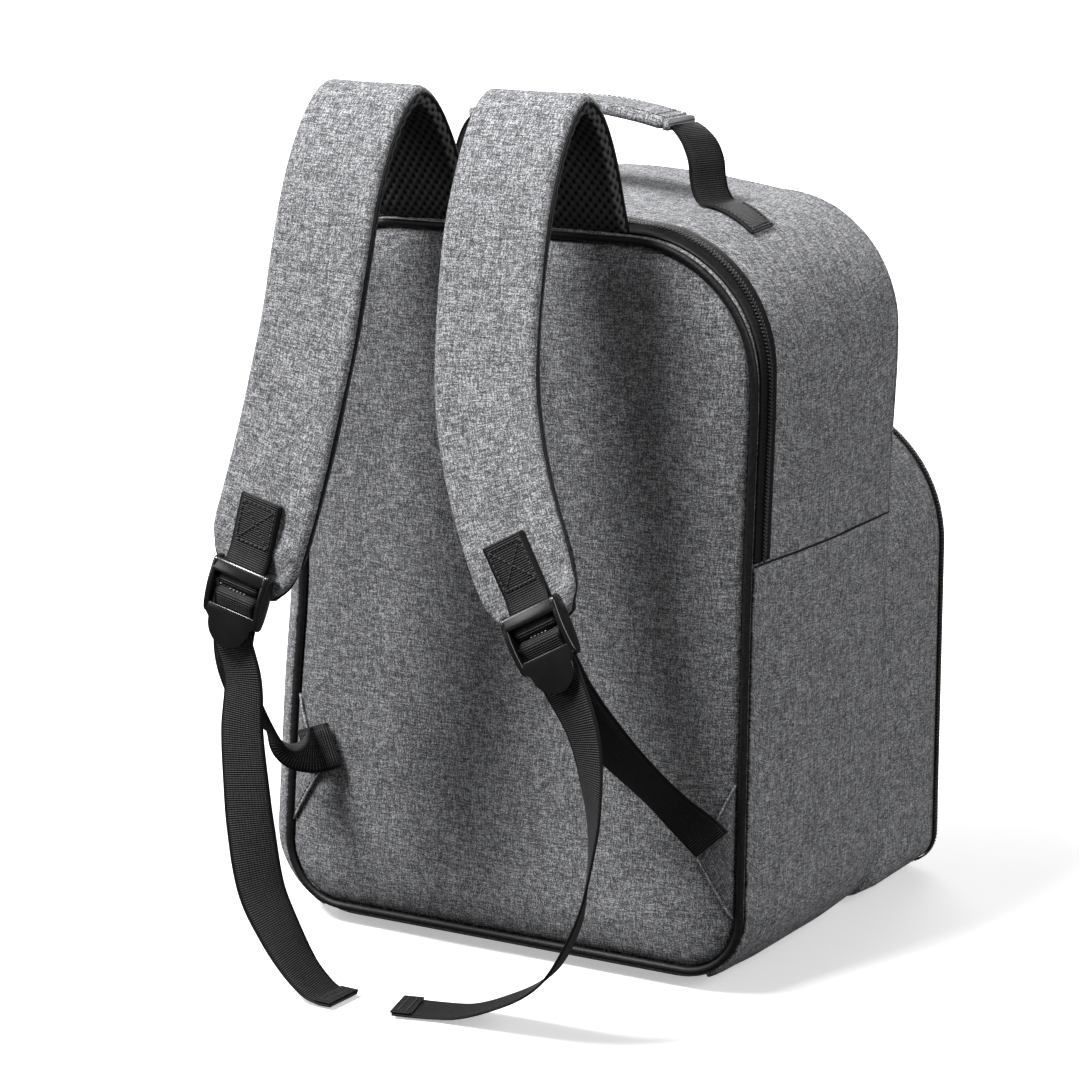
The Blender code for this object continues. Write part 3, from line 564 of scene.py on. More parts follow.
def item_from(shape, name, material, sharp_angle=None):
    """An object from a bmesh, smooth up to an angle in degrees."""
    mesh = bpy.data.meshes.new(name)
    shape.to_mesh(mesh)
    shape.free()
    mesh.shade_smooth()
    if sharp_angle is not None:
        mesh.set_sharp_from_angle(angle=radians(sharp_angle))
    return make_item(name, mesh, material)


def mended(mesh, change=None):
    """Change a mesh as a bmesh, and turn all its faces outwards."""
    shape = bmesh.new()
    shape.from_mesh(mesh)
    shape.verts.ensure_lookup_table()
    if change is not None:
        change(shape)
    bmesh.ops.recalc_face_normals(shape, faces=shape.faces)
    shape.to_mesh(mesh)
    shape.free()
    mesh.shade_smooth()


def weld(item):
    mended(item.data, lambda shape: bmesh.ops.remove_doubles(shape, verts=shape.verts, dist=WELD_DISTANCE))


def turns(sides):
    return [2 * pi * k / sides for k in range(sides)]


def spaced(start, end, count):
    return [start + (end - start) * k / count for k in range(count + 1)]


def straight(start, end, steps):
    return [start.lerp(end, k / steps) for k in range(steps + 1)]


def directions(points, cyclic=False):
    """The way a line runs at each point, from one neighbour to the other."""
    last = len(points) - 1
    if cyclic:
        return [points[(i + 1) % len(points)] - points[i - 1] for i in range(len(points))]
    return [points[min(i + 1, last)] - points[max(i - 1, 0)] for i in range(len(points))]


def across_and_out(direction):
    """The directions across a strap that runs one way, and out of it."""
    across = (Vector((1, 0, 0)) - direction * direction.x).normalized()
    return across, direction.cross(across).normalized()


def closing(ring, shares):
    """Copies of a ring drawn in towards its middle."""
    middle = sum(ring, Vector()) / len(ring)
    return [[middle + (point - middle) * share for point in ring] for share in shares]


def skin(name, rings, material, closed=False, caps=False):
    """Skin equal rings with quads, and give them coordinates in metres that run
    with the cloth: u round the rings, v along them."""
    count = len(rings[0])
    last = len(rings) - 1
    grid = np.array([[tuple(point) for point in ring] for ring in rings])
    lengths = np.linalg.norm(np.roll(grid, -1, axis=1) - grid, axis=2)
    u = np.concatenate([np.zeros((len(rings), 1)), np.cumsum(lengths, axis=1)], axis=1)
    steps = np.linalg.norm(np.diff(grid, axis=0), axis=2).mean(axis=1)
    v = np.concatenate([[0.0], np.cumsum(steps)])
    faces = []
    uvs = []
    for row in range(last):
        for i in range(count if closed else count - 1):
            corners = [(row, i), (row, i + 1), (row + 1, i + 1), (row + 1, i)]
            if not closed:
                corners.reverse()
            faces.append([line * count + place % count for line, place in corners])
            uvs += [(u[line][place], v[line]) for line, place in corners]
    if caps:
        for line, places in ((0, range(count)[::-1]), (last, range(count))):
            faces.append([line * count + i for i in places])
            uvs += [(rings[line][i].x, rings[line][i].z) for i in places]
    mesh = bpy.data.meshes.new(name)
    mesh.from_pydata(grid.reshape(-1, 3).tolist(), [], faces)
    mesh.uv_layers.new(name="weave").data.foreach_set("uv", [c for uv in uvs for c in uv])
    if caps:
        mended(mesh)
    mesh.shade_smooth()
    return make_item(name, mesh, material)


def thicken(item, thickness, outward=False):
    wall = item.modifiers.new("wall", "SOLIDIFY")
    wall.thickness = thickness
    wall.offset = 1.0 if outward else -1.0
    wall.use_even_offset = True
    graph = bpy.context.evaluated_depsgraph_get()
    mesh = bpy.data.meshes.new_from_object(item.evaluated_get(graph), depsgraph=graph)
    item.modifiers.clear()
    item.data = mesh


def soft_dents(item, height, scale, seed=0.0, where=None):
    """Push a piece's skin in and out along its normals by smooth noise."""
    moved = []
    for vertex in item.data.vertices:
        amount = height * noise.noise(vertex.co * scale + Vector((seed, 0, 0)))
        if where is not None:
            amount *= where(vertex.co)
        moved.append(vertex.co + vertex.normal * amount)
    for vertex, place in zip(item.data.vertices, moved):
        vertex.co = place


def smooth_value(rows, column, x):
    """A smooth curve through a column of rows, which never overshoots them."""
    xs = [row[0] for row in rows]
    ys = [row[column] for row in rows]
    if x <= xs[0]:
        return ys[0]
    if x >= xs[-1]:
        return ys[-1]
    slopes = [(b - a) / (q - p) for a, b, p, q in zip(ys, ys[1:], xs, xs[1:])]
    bends = [slopes[0]]
    for before, after in zip(slopes, slopes[1:]):
        bends.append(2 * before * after / (before + after) if before * after > 0 else 0.0)
    bends.append(slopes[-1])
    i = max(k for k in range(len(xs) - 1) if xs[k] <= x)
    h = xs[i + 1] - xs[i]
    t = (x - xs[i]) / h
    return (ys[i] * (1 + 2 * t) * (1 - t) ** 2 + bends[i] * h * t * (1 - t) ** 2
            + ys[i + 1] * t * t * (3 - 2 * t) + bends[i + 1] * h * t * t * (t - 1))


def through(stations, spacing):
    """Even samples of a smooth curve through rows of numbers, the first three of
    which are a place."""
    rows = np.array(stations, dtype=float)
    gaps = np.linalg.norm(np.diff(rows[:, :3], axis=0), axis=1)
    s = np.concatenate([[0.0], np.cumsum(gaps)])
    slopes = np.empty_like(rows)
    slopes[1:-1] = (rows[2:] - rows[:-2]) / (s[2:] - s[:-2])[:, None]
    slopes[0] = (rows[1] - rows[0]) / (s[1] - s[0])
    slopes[-1] = (rows[-1] - rows[-2]) / (s[-1] - s[-2])
    count = max(2, int(round(s[-1] / spacing)))
    places = np.linspace(0, s[-1], count + 1)
    index = np.clip(np.searchsorted(s, places, side="right") - 1, 0, len(s) - 2)
    h = (s[index + 1] - s[index])[:, None]
    t = (places - s[index])[:, None] / h
    low, high = rows[index], rows[index + 1]
    return (low * (1 + 2 * t) * (1 - t) ** 2 + slopes[index] * h * t * (1 - t) ** 2
            + high * t * t * (3 - 2 * t) + slopes[index + 1] * h * t * t * (t - 1))


def arc(center_x, center_z, radius, start):
    angles = [radians(start + 90 * step / ARC_STEPS) for step in range(ARC_STEPS + 1)]
    return [(center_x + radius * cos(angle), center_z + radius * sin(angle)) for angle in angles]


def edge_reach(share, side):
    return PANEL_HALF_WIDTH * smooth_value(EDGE_ROWS, 1 if side < 0 else 2, share)


def body_outline(y, left, right, top, bottom, inset):
    """The bag's outline in one upright plane, as its solids have it, in fine
    steps: bottom from left to right, right side, top and left side."""
    height = PIPING_TOP - PIPING_BOTTOM
    high = PIPING_TOP + top - inset
    low = PIPING_BOTTOM - bottom + inset
    crown = TOP_CROWN * top / TOP_BULGE
    top_radius = TOP_CORNER - inset
    low_radius = PIPING_CORNER + (BOTTOM_CORNER - PIPING_CORNER) * bottom / PIPING_BOTTOM - inset
    shoulder = high - crown

    def reach(z, side):
        swell = right if side > 0 else left
        return side * (edge_reach((z - PIPING_BOTTOM) / height, side) + swell - inset)

    z_low = low + low_radius
    z_high = shoulder - top_radius
    corner_left, corner_right = (reach(z_high, side) - side * top_radius for side in (-1, 1))
    foot_left, foot_right = (reach(z_low, side) - side * low_radius for side in (-1, 1))
    heights = spaced(z_low, SIDE_POCKET_TOP, SIDE_STEPS)[1:]
    heights += spaced(SIDE_POCKET_TOP, z_high, SIDE_STEPS)[1:-1]
    points = [(x, low) for x in spaced(foot_left, foot_right, FLAT_STEPS)[1:-1]]
    points += arc(foot_right, z_low, low_radius, -90)
    points += [(reach(z, 1), z) for z in heights]
    points += arc(corner_right, z_high, top_radius, 0)
    for share in spaced(0.0, 1.0, FLAT_STEPS)[1:-1]:
        x = corner_right + (corner_left - corner_right) * share
        points.append((x, shoulder + crown * sin(pi * share)))
    points += arc(corner_left, z_high, top_radius, 90)
    points += [(reach(z, -1), z) for z in reversed(heights)]
    points += arc(foot_left, z_low, low_radius, 180)
    return [Vector((x, y, z)) for x, z in points]


# Where the outline's stretches start in its list
RIGHT_FOOT = FLAT_STEPS - 1
RIGHT_POCKET_LINE = RIGHT_FOOT + ARC_STEPS + SIDE_STEPS
LEFT_POCKET_LINE = RIGHT_POCKET_LINE + 2 * SIDE_STEPS + 2 * ARC_STEPS + FLAT_STEPS
LEFT_FOOT = LEFT_POCKET_LINE + SIDE_STEPS + ARC_STEPS


def body_at(depth, lift=0.0):
    """The body's outline at a depth share, lifted off its surface."""
    left, right, top, bottom, turned_in = (smooth_value(BODY_ROWS, k, depth) for k in range(1, 6))
    return body_outline(BACK + depth * BODY_DEPTH, left * SIDE_BULGE, right * SIDE_BULGE,
                        top * TOP_BULGE, bottom * PIPING_BOTTOM, turned_in * BODY_WALL - lift)


def slump(place):
    """Soft unevenness of the cloth at a place, along its outward direction."""
    calm = min(1.0, max(0.0, (place.y - BACK - 0.02) / 0.03))
    wide = noise.noise(place * 14.0 + Vector((3.1, 0, 0)))
    narrow = noise.noise(place * 45.0 + Vector((0, 7.7, 0)))
    return calm * (WIDE_SLUMP * wide + NARROW_SLUMP * narrow) + left_swell(place)


def left_swell(place):
    """The left side stands out past the piping, between the zip and the base."""
    if place.x > LEFT_SIDE:
        return 0.0
    near_back = smooth_value(SWELL_ROWS, 1, (place.y - BACK) / BODY_DEPTH)
    below = min(1.0, max(0.0, (SIDE_POCKET_TOP + SWELL_FADE - place.z) / SWELL_FADE))
    above = min(1.0, max(0.0, (place.z - SWELL_BASE) / SWELL_FADE))
    return LEFT_SWELL * near_back * below * above


def lifted(depths, picks, lift):
    """Rings of part of the body's surface, moved off it, with its unevenness."""
    rings = []
    for depth in depths:
        ring = body_at(depth, lift)[picks]
        outs = [Vector((along.z, 0, -along.x)).normalized() for along in directions(ring)]
        rings.append([point + out * slump(point) for point, out in zip(ring, outs)])
    return rings


def make_body():
    depths = spaced(BODY_START_SHARE, ZIP_END_SHARE, 10)
    depths += spaced(ZIP_END_SHARE, SIDE_POCKET_END_SHARE, 44)[1:]
    depths += spaced(SIDE_POCKET_END_SHARE, 1.0, 8)[1:]
    whole = slice(None)
    rings = lifted(depths, whole, 0.0)
    rings += closing(rings[-1], (0.97, 0.9, 0.75, 0.5, 0.25))
    shell = skin("body_cloth", rings, BODY_SHADED_GREY, closed=True)
    middle = len(shell.data.vertices) - len(rings[0])
    mended(shell.data, lambda shape: shape.faces.new(shape.verts[middle:]))
    planar_weave(shell)
    thicken(shell, BODY_WALL)
    finish_piece(shell, ["body_shell"])
    front_seam = lifted([FRONT_SEAM_SHARE], whole, 0.0002)[0]
    finish_piece(tube("front_edge_seam", front_seam, SEAM_RADIUS, BODY_SHADED_GREY, cyclic=True))


def pad_level(inset):
    """The back panel's face at a distance inwards from the piping."""
    return BACK + PIPING_RADIUS - PANEL_PAD * smooth_value(PAD_ROWS, 1, inset)


def draped(place):
    """A place moved onto the outside of a corner tab that lies on the panel."""
    share = (place.z - PIPING_BOTTOM) / (PIPING_TOP - PIPING_BOTTOM)
    side = 1 if place.x > 0 else -1
    inset = edge_reach(share, side) - abs(place.x) - PIPING_RADIUS - GAP
    return Vector((place.x, pad_level(max(0.0, inset)) - GAP - TAB_THICKNESS, place.z))


def make_back_panel():
    """A padded lid: full over its middle, rounded down to the piping."""
    rings = [body_outline(pad_level(inset), 0, 0, 0, 0, PIPING_RADIUS + GAP + inset)
             for inset, _ in PAD_ROWS]
    rings += closing(rings[-1], (0.92, 0.84, 0.75, 0.66, 0.56, 0.46, 0.36, 0.26, 0.16, 0.07))
    panel = skin("back_panel_cloth", rings, PANEL_SHADED_GREY, closed=True, caps=True)
    full = BACK + PIPING_RADIUS - PANEL_PAD * 0.98
    for vertex in panel.data.vertices:
        if vertex.co.y < full:
            vertex.co.y += 0.0007 * abs(noise.noise(vertex.co * 18.0))
    planar_weave(panel)
    finish_piece(panel, ["back_panel"])


def planar_weave(item):
    """Upright cloth coordinates on the faces that look forwards or backwards."""
    mesh = item.data
    layer = mesh.uv_layers["weave"]
    for face in mesh.polygons:
        if abs(face.normal.y) > 0.6:
            for index, vertex in zip(face.loop_indices, face.vertices):
                layer.data[index].uv = mesh.vertices[vertex].co.xz


def tube(name, points, radius, material, cyclic=False):
    """A round rod of mesh along points."""
    rings = []
    for point, tangent in zip(points, directions(points, cyclic)):
        tangent.normalize()
        across = tangent.cross(-OUT)
        if across.length < 0.1:
            across = tangent.cross(Vector((0, 0, 1)))
        across.normalize()
        other = tangent.cross(across)
        rings.append([point + (across * cos(turn) + other * sin(turn)) * radius
                      for turn in turns(ROD_SIDES)])
    if cyclic:
        rings.append(rings[0])
    item = skin(name, rings, material, closed=True, caps=not cyclic)
    if cyclic:
        weld(item)
    return item


def make_piping():
    cord = tube("piping_cord", body_outline(BACK, 0, 0, 0, 0, 0), PIPING_RADIUS, TRIM, cyclic=True)
    finish_piece(cord, ["back_piping"])


def surface_line(depth, lift):
    """A line round the body at a depth, lifted straight off it, and its outward directions."""
    here = body_at(depth)
    steps = [b - a for a, b in zip(here, body_at(depth + 0.01))]
    outs = [step.cross(along).normalized() for step, along in zip(steps, directions(here, cyclic=True))]
    return [point + out * lift for point, out in zip(here, outs)], outs


def make_main_zip():
    start = ZIP_START / BODY_DEPTH
    end = (ZIP_START + ZIP_WIDTH) / BODY_DEPTH
    middle = (start + end) / 2
    pick = slice(RIGHT_POCKET_LINE, LEFT_POCKET_LINE + 1)
    lines = [body_at(depth, 2 * GAP)[pick] for depth in spaced(start, end, 8)]
    level = 3 * GAP + ZIP_TAPE
    seat, outs = surface_line(middle, level)
    ahead, _ = surface_line(middle + 0.02, level)
    seat, outs, ahead = seat[pick], outs[pick], ahead[pick]
    for line in (*lines, seat):
        line[0].z += SIDE_POCKET_WALL + 2 * GAP
        line[-1].z += SIDE_POCKET_WALL + 2 * GAP
    tape = skin("main_zip_cloth", lines, TRIM)
    thicken(tape, ZIP_TAPE, outward=True)
    finish_piece(tape, ["main_zip_tape"])
    rows = [(*p, *o, *(a - p)) for p, o, a in zip(seat, outs, ahead)]
    teeth("main_zip_teeth", through(rows, TOOTH_PITCH), "main_zip_coil")


def teeth(name, rows, node):
    """Two interlocked rows of small rounded teeth along a line of rows: place,
    outward and sideways directions."""
    shape = bmesh.new()
    for row, ahead in zip(rows, rows[1:]):
        place, out, side = Vector(row[0:3]), Vector(row[3:6]).normalized(), Vector(row[6:9]).normalized()
        along = (Vector(ahead[0:3]) - place).normalized()
        for sign in (-1, 1):
            direction = (side * sign + along * TOOTH_SLANT).normalized()
            base = place + along * (TOOTH_PITCH * 0.25 * (1 + sign)) + out * TOOTH_RADIUS
            tip = base + direction * TOOTH_LENGTH * TOOTH_REACH
            capsule(shape, base - direction * TOOTH_ROOT, tip, TOOTH_RADIUS, out)
    bmesh.ops.recalc_face_normals(shape, faces=shape.faces)
    finish_piece(item_from(shape, name, NYLON), [node] if node else ())


def capsule(shape, start, end, radius, up):
    """Add a small rod with pointed ends to a bmesh."""
    along = (end - start).normalized()
    across = along.cross(up).normalized()
    upward = across.cross(along)
    near, far = ([shape.verts.new(middle + (across * cos(turn) + upward * sin(turn)) * radius)
                  for turn in turns(STITCH_SIDES)]
                 for middle in (start.lerp(end, ROD_POINT), start.lerp(end, 1 - ROD_POINT)))
    first = shape.verts.new(start)
    last = shape.verts.new(end)
    for k in range(STITCH_SIDES):
        n = (k + 1) % STITCH_SIDES
        shape.faces.new((near[k], near[n], far[n], far[k]))
        shape.faces.new((first, near[n], near[k]))
        shape.faces.new((last, far[k], far[n]))


def stitch_row(name, places, outs, radius=THICK_STITCH, material=DARK_THREAD,
               pitch=STITCH_PITCH, length=STITCH_LENGTH, sink=0.3):
    """A row of raised stitches along a line of places, with one direction out of
    the surface for them all or a list of them."""
    if isinstance(outs, Vector):
        outs = [outs] * len(places)
    rows = through([(*p, *o) for p, o in zip(places, outs)], pitch)
    shape = bmesh.new()
    for near, far in zip(rows, rows[1:]):
        start, end = Vector(near[:3]), Vector(far[:3])
        out = Vector(near[3:6]).normalized()
        middle = (start + end) / 2 + out * radius * (1 - 2 * sink)
        along = (end - start).normalized() * (length / 2)
        capsule(shape, middle - along, middle + along, radius, out)
    bmesh.ops.recalc_face_normals(shape, faces=shape.faces)
    finish_piece(item_from(shape, name, material))


def row_across(name, middle, across, out, radius=THICK_STITCH):
    """A row of stitches across a webbing."""
    places = [middle + across * (u * WEBBING_WIDTH) for u in (-0.42, -0.14, 0.14, 0.42)]
    stitch_row(name, places, out, radius)


def make_side_pockets():
    depths = spaced(ZIP_START / BODY_DEPTH, SIDE_POCKET_END_SHARE, 48)
    for label, picks, rim in (("right", slice(RIGHT_FOOT + 5, RIGHT_POCKET_LINE + 1), -1),
                              ("left", slice(LEFT_POCKET_LINE, LEFT_FOOT - 4), 0)):
        pocket = skin(f"side_pocket_cloth_{label}", lifted(depths, picks, 2 * GAP), BODY_SHADED_GREY)
        thicken(pocket, SIDE_POCKET_WALL, outward=True)
        finish_piece(pocket, [f"side_pocket_{label}"])
        # A thin black cord along the pocket's opening: a painted shadow line under its hem
        outside = lifted(depths, picks, 2 * GAP + SIDE_POCKET_WALL)
        edge = [ring[rim] + Vector((0, 0, 0.0004)) for ring in outside]
        finish_piece(tube(f"side_pocket_hem_shadow_{label}", edge, RIM_RADIUS, TRIM))


def pocket_outline(y, inset):
    half = POCKET_HALF_WIDTH - inset
    high = POCKET_TOP - inset
    low = POCKET_BOTTOM + inset
    top_radius = POCKET_TOP_CORNER - inset
    low_radius = POCKET_BOTTOM_CORNER - inset
    foot = half - low_radius
    corner = half - top_radius
    sides = spaced(low + low_radius, high - top_radius, POCKET_STEPS)[1:-1]
    points = [(x, low) for x in spaced(-foot, foot, POCKET_STEPS)[1:-1]]
    points += arc(foot, low + low_radius, low_radius, -90)
    points += [(half, z) for z in sides]
    points += arc(corner, high - top_radius, top_radius, 0)
    points += [(x, high) for x in spaced(corner, -corner, POCKET_TOP_STEPS)[1:-1]]
    points += arc(-corner, high - top_radius, top_radius, 90)
    points += [(-half, z) for z in reversed(sides)]
    points += arc(-foot, low + low_radius, low_radius, 180)
    return [Vector((x, y, z)) for x, z in points]


def make_front_pocket():
    rings = []
    for y in spaced(POCKET_BACK, ZIP_BACK - GAP, 20):
        share = (y - POCKET_BACK) / (ZIP_BACK - POCKET_BACK)
        rings.append(pocket_outline(y, 0.0015 * (1 - min(1.0, share / 0.25))))
    rings = closing(rings[0], (0.2, 0.5, 0.8, 0.96)) + rings
    tub = skin("front_pocket_cloth", rings, BODY_SHADED_GREY, closed=True)
    mended(tub.data, lambda shape: shape.faces.new(shape.verts[:len(rings[0])]))
    planar_weave(tub)
    thicken(tub, POCKET_WALL)
    finish_piece(tub, ["front_pocket_shell"])


def make_front_zip():
    band = [pocket_outline(y, 0.0) for y in spaced(ZIP_BACK, ZIP_BACK + POCKET_ZIP_WIDTH - GAP, 4)]
    ring = skin("front_zip_cloth", [list(reversed(r)) for r in band], TRIM, closed=True)
    thicken(ring, POCKET_WALL)
    finish_piece(ring, ["front_pocket_zip"])
    y = ZIP_BACK + POCKET_ZIP_WIDTH / 2
    rows = [(*(a + (b - a) * 0.2), *(b - a).normalized(), 0.0, 1.0, 0.0)
            for a, b in zip(pocket_outline(y, 0.0), pocket_outline(y, -0.001))]
    teeth("front_zip_teeth", through(rows + rows[:1], TOOTH_PITCH), None)


def make_front_panel():
    seat = POCKET_BACK + POCKET_DEPTH
    rings = [pocket_outline(seat + share * POCKET_PAD, turn * POCKET_PAD) for share, turn in FRONT_PAD_ROWS]
    rings += closing(rings[-1], (0.94, 0.86, 0.75, 0.62, 0.48, 0.34, 0.2, 0.08))
    panel = skin("front_panel_cloth", rings, BODY_SHADED_GREY, closed=True, caps=True)
    planar_weave(panel)
    finish_piece(panel, ["front_pocket_panel"])


def strap_path(side):
    column = 2 if side > 0 else 3
    path = []
    for row in STRAP_ROWS:
        out, up = row[0], row[1]
        rise = STRAP_RISE if up > 0 else STRAP_FALL
        x = side * (STRAP_SPACING / 2 + STRAP_SPLAY * row[column])
        center = Vector((x, BACK - out * STRAP_REACH, PIPING_TOP + PIPING_RADIUS + up * rise))
        path.append((center, row[4], row[5]))
    return path


def frames_along(points):
    frames = []
    for i, tangent in enumerate(directions(points)):
        if i == 0:
            tangent.x = 0.0
        frames.append(across_and_out(tangent.normalized()))
    return frames


def pillow_section(width, base, top, edge):
    """A strip's cross-section as (sideways, outward) pairs: flat at its base
    level, rounded over to its top level."""
    half = width / 2
    depth = top - base
    rounding = []
    for k in range(1, ROUND_STEPS + 1):
        angle = pi / 2 * k / ROUND_STEPS
        rounding.append((half - edge * (1 - cos(angle)), base + depth * (0.30 + 0.70 * sin(angle))))
    points = [(u, base) for u in spaced(-half, half, SECTION_STEPS)] + rounding
    points += [(u, top) for u in spaced(half - edge, edge - half, SECTION_STEPS)[1:-1]]
    return points + [(-u, v) for u, v in reversed(rounding)]


def strap_samples(side):
    rows = through([(*center, width, thick) for center, width, thick in strap_path(side)], STRAP_STEP)
    centers = [Vector(row[:3]) for row in rows]
    return zip(centers, np.minimum(rows[:, 3:5], 1.0).tolist(), frames_along(centers))


def make_straps():
    for side, label in SIDES:
        pad_rings = []
        mesh_rings = []
        edges = {-1: [], 1: []}
        for center, (width_share, thick_share), (across, outward) in strap_samples(side):
            width = STRAP_WIDTH * width_share
            whole = (STRAP_PAD + STRAP_MESH + GAP) * thick_share
            rear = max(0.0, 1 - (BACK - center.y) / (REAR_REACH * STRAP_REACH))
            cloth = whole * (CLOTH_SHARE - (CLOTH_SHARE - REAR_CLOTH_SHARE) * rear)
            pad = pillow_section(width, -cloth, 0.0, PAD_EDGE)
            spacer = pillow_section(width - MESH_INSET, -cloth - GAP, -whole, MESH_EDGE)
            for rings, section in ((pad_rings, pad), (mesh_rings, spacer)):
                rings.append([center + across * u + outward * v for u, v in section])
            for sign in edges:
                reach = width / 2 - BINDING_RADIUS * 0.4
                edges[sign].append(center - outward * cloth + across * (sign * reach))
        make_pad(side, label, pad_rings, center)
        lining = skin(f"strap_lining_{label}", mesh_rings, SPACER, closed=True, caps=True)
        finish_piece(lining, [f"strap_mesh_{label}"])
        rows = through(edges[1] + edges[-1][::-1], 0.003)
        cord = tube(f"strap_binding_{label}", [Vector(row) for row in rows], BINDING_RADIUS, TRIM)
        finish_piece(cord)


def make_pad(side, label, rings, tip):
    """The cloth half of a strap, with wide dents, and deeper ones at its sewn tip."""
    pad = skin(f"strap_cloth_{label}", rings, GREY, closed=True, caps=True)
    soft_dents(pad, 0.0007, 22.0, seed=5.0 * side)
    soft_dents(pad, TIP_DENT, 75.0, seed=2.0 * side,
               where=lambda place: max(0.0, 1 - (place - tip).length / TIP_DENT_REACH))
    finish_piece(pad, [f"strap_pad_{label}"])


def buckle_frame(side):
    """The buckle's place at the strap's end, with its directions across, down and out."""
    points = [step[0] for step in strap_path(side)]
    length = 0.0
    for last, point in zip(points[:0:-1], points[-2::-1]):
        step = (last - point).length
        if length + step >= BUCKLE_OVERLAP:
            down = (last - point).normalized()
            place = last - down * (BUCKLE_OVERLAP - length)
            break
        length += step
    across, outward = across_and_out(down)
    return place + outward * GAP, across, down, outward


def to_world(axes, u, v, n):
    origin, across, down, outward = axes
    return origin + across * u + down * v + outward * n


def sized(rows):
    return [(down * BUCKLE_LENGTH, out * BUCKLE_HEIGHT) for down, out in rows]


def add_prism(shape, axes, outline, low, high, axis, bevel=0.0005):
    """Add a straight prism with softened edges to a bmesh, in the buckle's frame:
    along u, or along n where it is a plate."""
    ends = []
    for level in (low, high):
        places = [(level, a, b) if axis == "u" else (a, b, level) for a, b in outline]
        ends.append([shape.verts.new(to_world(axes, *place)) for place in places])
    faces = [shape.faces.new(ends[0]), shape.faces.new(ends[1][::-1])]
    for i in range(len(outline)):
        faces.append(shape.faces.new((ends[0][i], ends[0][i - 1], ends[1][i - 1], ends[1][i])))
    bmesh.ops.recalc_face_normals(shape, faces=faces)
    rims = [edge for edge in shape.edges if len(edge.link_faces) == 2 and edge.link_faces[0] in faces
            and edge.calc_face_angle(0) > radians(40)]
    bmesh.ops.bevel(shape, geom=rims, offset=bevel, segments=3, affect="EDGES", profile=0.5,
                    clamp_overlap=True)


def rounded_outline(points, steps=5):
    """Smooth a closed outline by running a curve through its corners."""
    result = []
    count = len(points)
    for i in range(count):
        a, b, c, d = (Vector(points[(i + k - 1) % count]) for k in range(4))
        for step in range(steps):
            t = step / steps
            result.append(tuple(b + (c - a) * (0.5 * t) + (a * 2 - b * 5 + c * 4 - d) * (0.5 * t * t)
                                + (b * 3 - a - c * 3 + d) * (0.5 * t ** 3)))
    return result


def thumb_tab_outline():
    root = (BUCKLE_WIDTH - BUCKLE_CHEEK) / 2
    half = THUMB_TAB_WIDTH / 2
    top = BUCKLE_LENGTH - THUMB_TAB_ROOT
    center = BUCKLE_LENGTH + THUMB_TAB - half
    angles = [pi * step / 24 for step in range(25)]
    tip = [(half * cos(angle), center + half * sin(angle)) for angle in angles]
    return [(root, top), (root, center - 0.003), *tip, (-root, center - 0.003), (-root, top)]


def round_bar(radius, v, n):
    return [(v + radius * cos(turn), n + radius * sin(turn)) for turn in turns(BAR_SIDES)]


def make_buckles():
    half = BUCKLE_WIDTH / 2
    inner = half - BUCKLE_CHEEK
    into_cheek = inner + BUCKLE_CHEEK / 2
    tab_base = 0.7 * BUCKLE_HEIGHT
    crossing = (
        rounded_outline(sized(TOP_PLATE_ROWS)),
        round_bar(ANCHOR_BAR, ANCHOR_BAR_DOWN, ANCHOR_BAR_OUT),
        round_bar(SLIDE_BAR, SLIDE_BAR_DOWN, SLIDE_BAR_OUT),
    )
    for side, label in SIDES:
        axes = buckle_frame(side)
        shape = bmesh.new()
        for low, high in ((inner, half), (-half, -inner)):
            add_prism(shape, axes, rounded_outline(sized(CHEEK_ROWS)), low, high, "u", bevel=0.0009)
        for outline in crossing:
            add_prism(shape, axes, outline, -into_cheek, into_cheek, "u", bevel=0.0002)
        add_prism(shape, axes, thumb_tab_outline(), tab_base, tab_base + THUMB_TAB_THICKNESS, "n")
        item = item_from(shape, f"buckle_moulding_{label}", PLASTIC, sharp_angle=35)
        finish_piece(item, [f"buckle_{label}"])
        slide_teeth(f"slide_teeth_{label}", axes)


def slide_teeth(name, axes):
    """Small raised teeth between the buckle's two bars."""
    between = (ANCHOR_BAR_DOWN + ANCHOR_BAR + SLIDE_BAR_DOWN - SLIDE_BAR) / 2
    places = [to_world(axes, u * BUCKLE_WIDTH, between, SLIDE_BAR_OUT + SLIDE_BAR)
              for u in (-0.16, -0.05, 0.05, 0.16)]
    stitch_row(name, places, axes[3], 0.0004, PALE_PLASTIC, pitch=0.0021, length=0.0013)


def ribbon(name, stations, node=None, skewed=False):
    """Ribbed webbing through stations of (middle, width direction). A skewed one
    keeps its width direction where that isn't square to its length."""
    rows = through([(*center, *across) for center, across in stations], RIB_PITCH / 2)
    centers = [Vector(row[:3]) for row in rows]
    rings = []
    for i, (center, tangent) in enumerate(zip(centers, directions(centers))):
        tangent.normalize()
        across = Vector(rows[i][3:6])
        if not skewed:
            across = across - tangent * across.dot(tangent)
        across.normalize()
        outward = across.cross(tangent).normalized()
        rib = RIB_HEIGHT * (i % 2)
        half = WEBBING_WIDTH / 2 - rib
        depth = WEBBING / 2 - rib
        face = (-half + 0.0005, -half / 2, 0, half / 2, half - 0.0005)
        section = [(-half, 0.0), *((u, -depth) for u in face)]
        section += [(-u, -n) for u, n in section]
        rings.append([center + across * u + outward * n for u, n in section])
    item = skin(name, rings, WEB, closed=True, caps=True)
    layer = item.data.uv_layers["weave"]
    for loop in item.data.loops:
        ring, place = divmod(loop.vertex_index, len(section))
        layer.data[loop.index].uv = (section[place][0], ring * RIB_PITCH / 2)
    finish_piece(item, [node] if node else ())


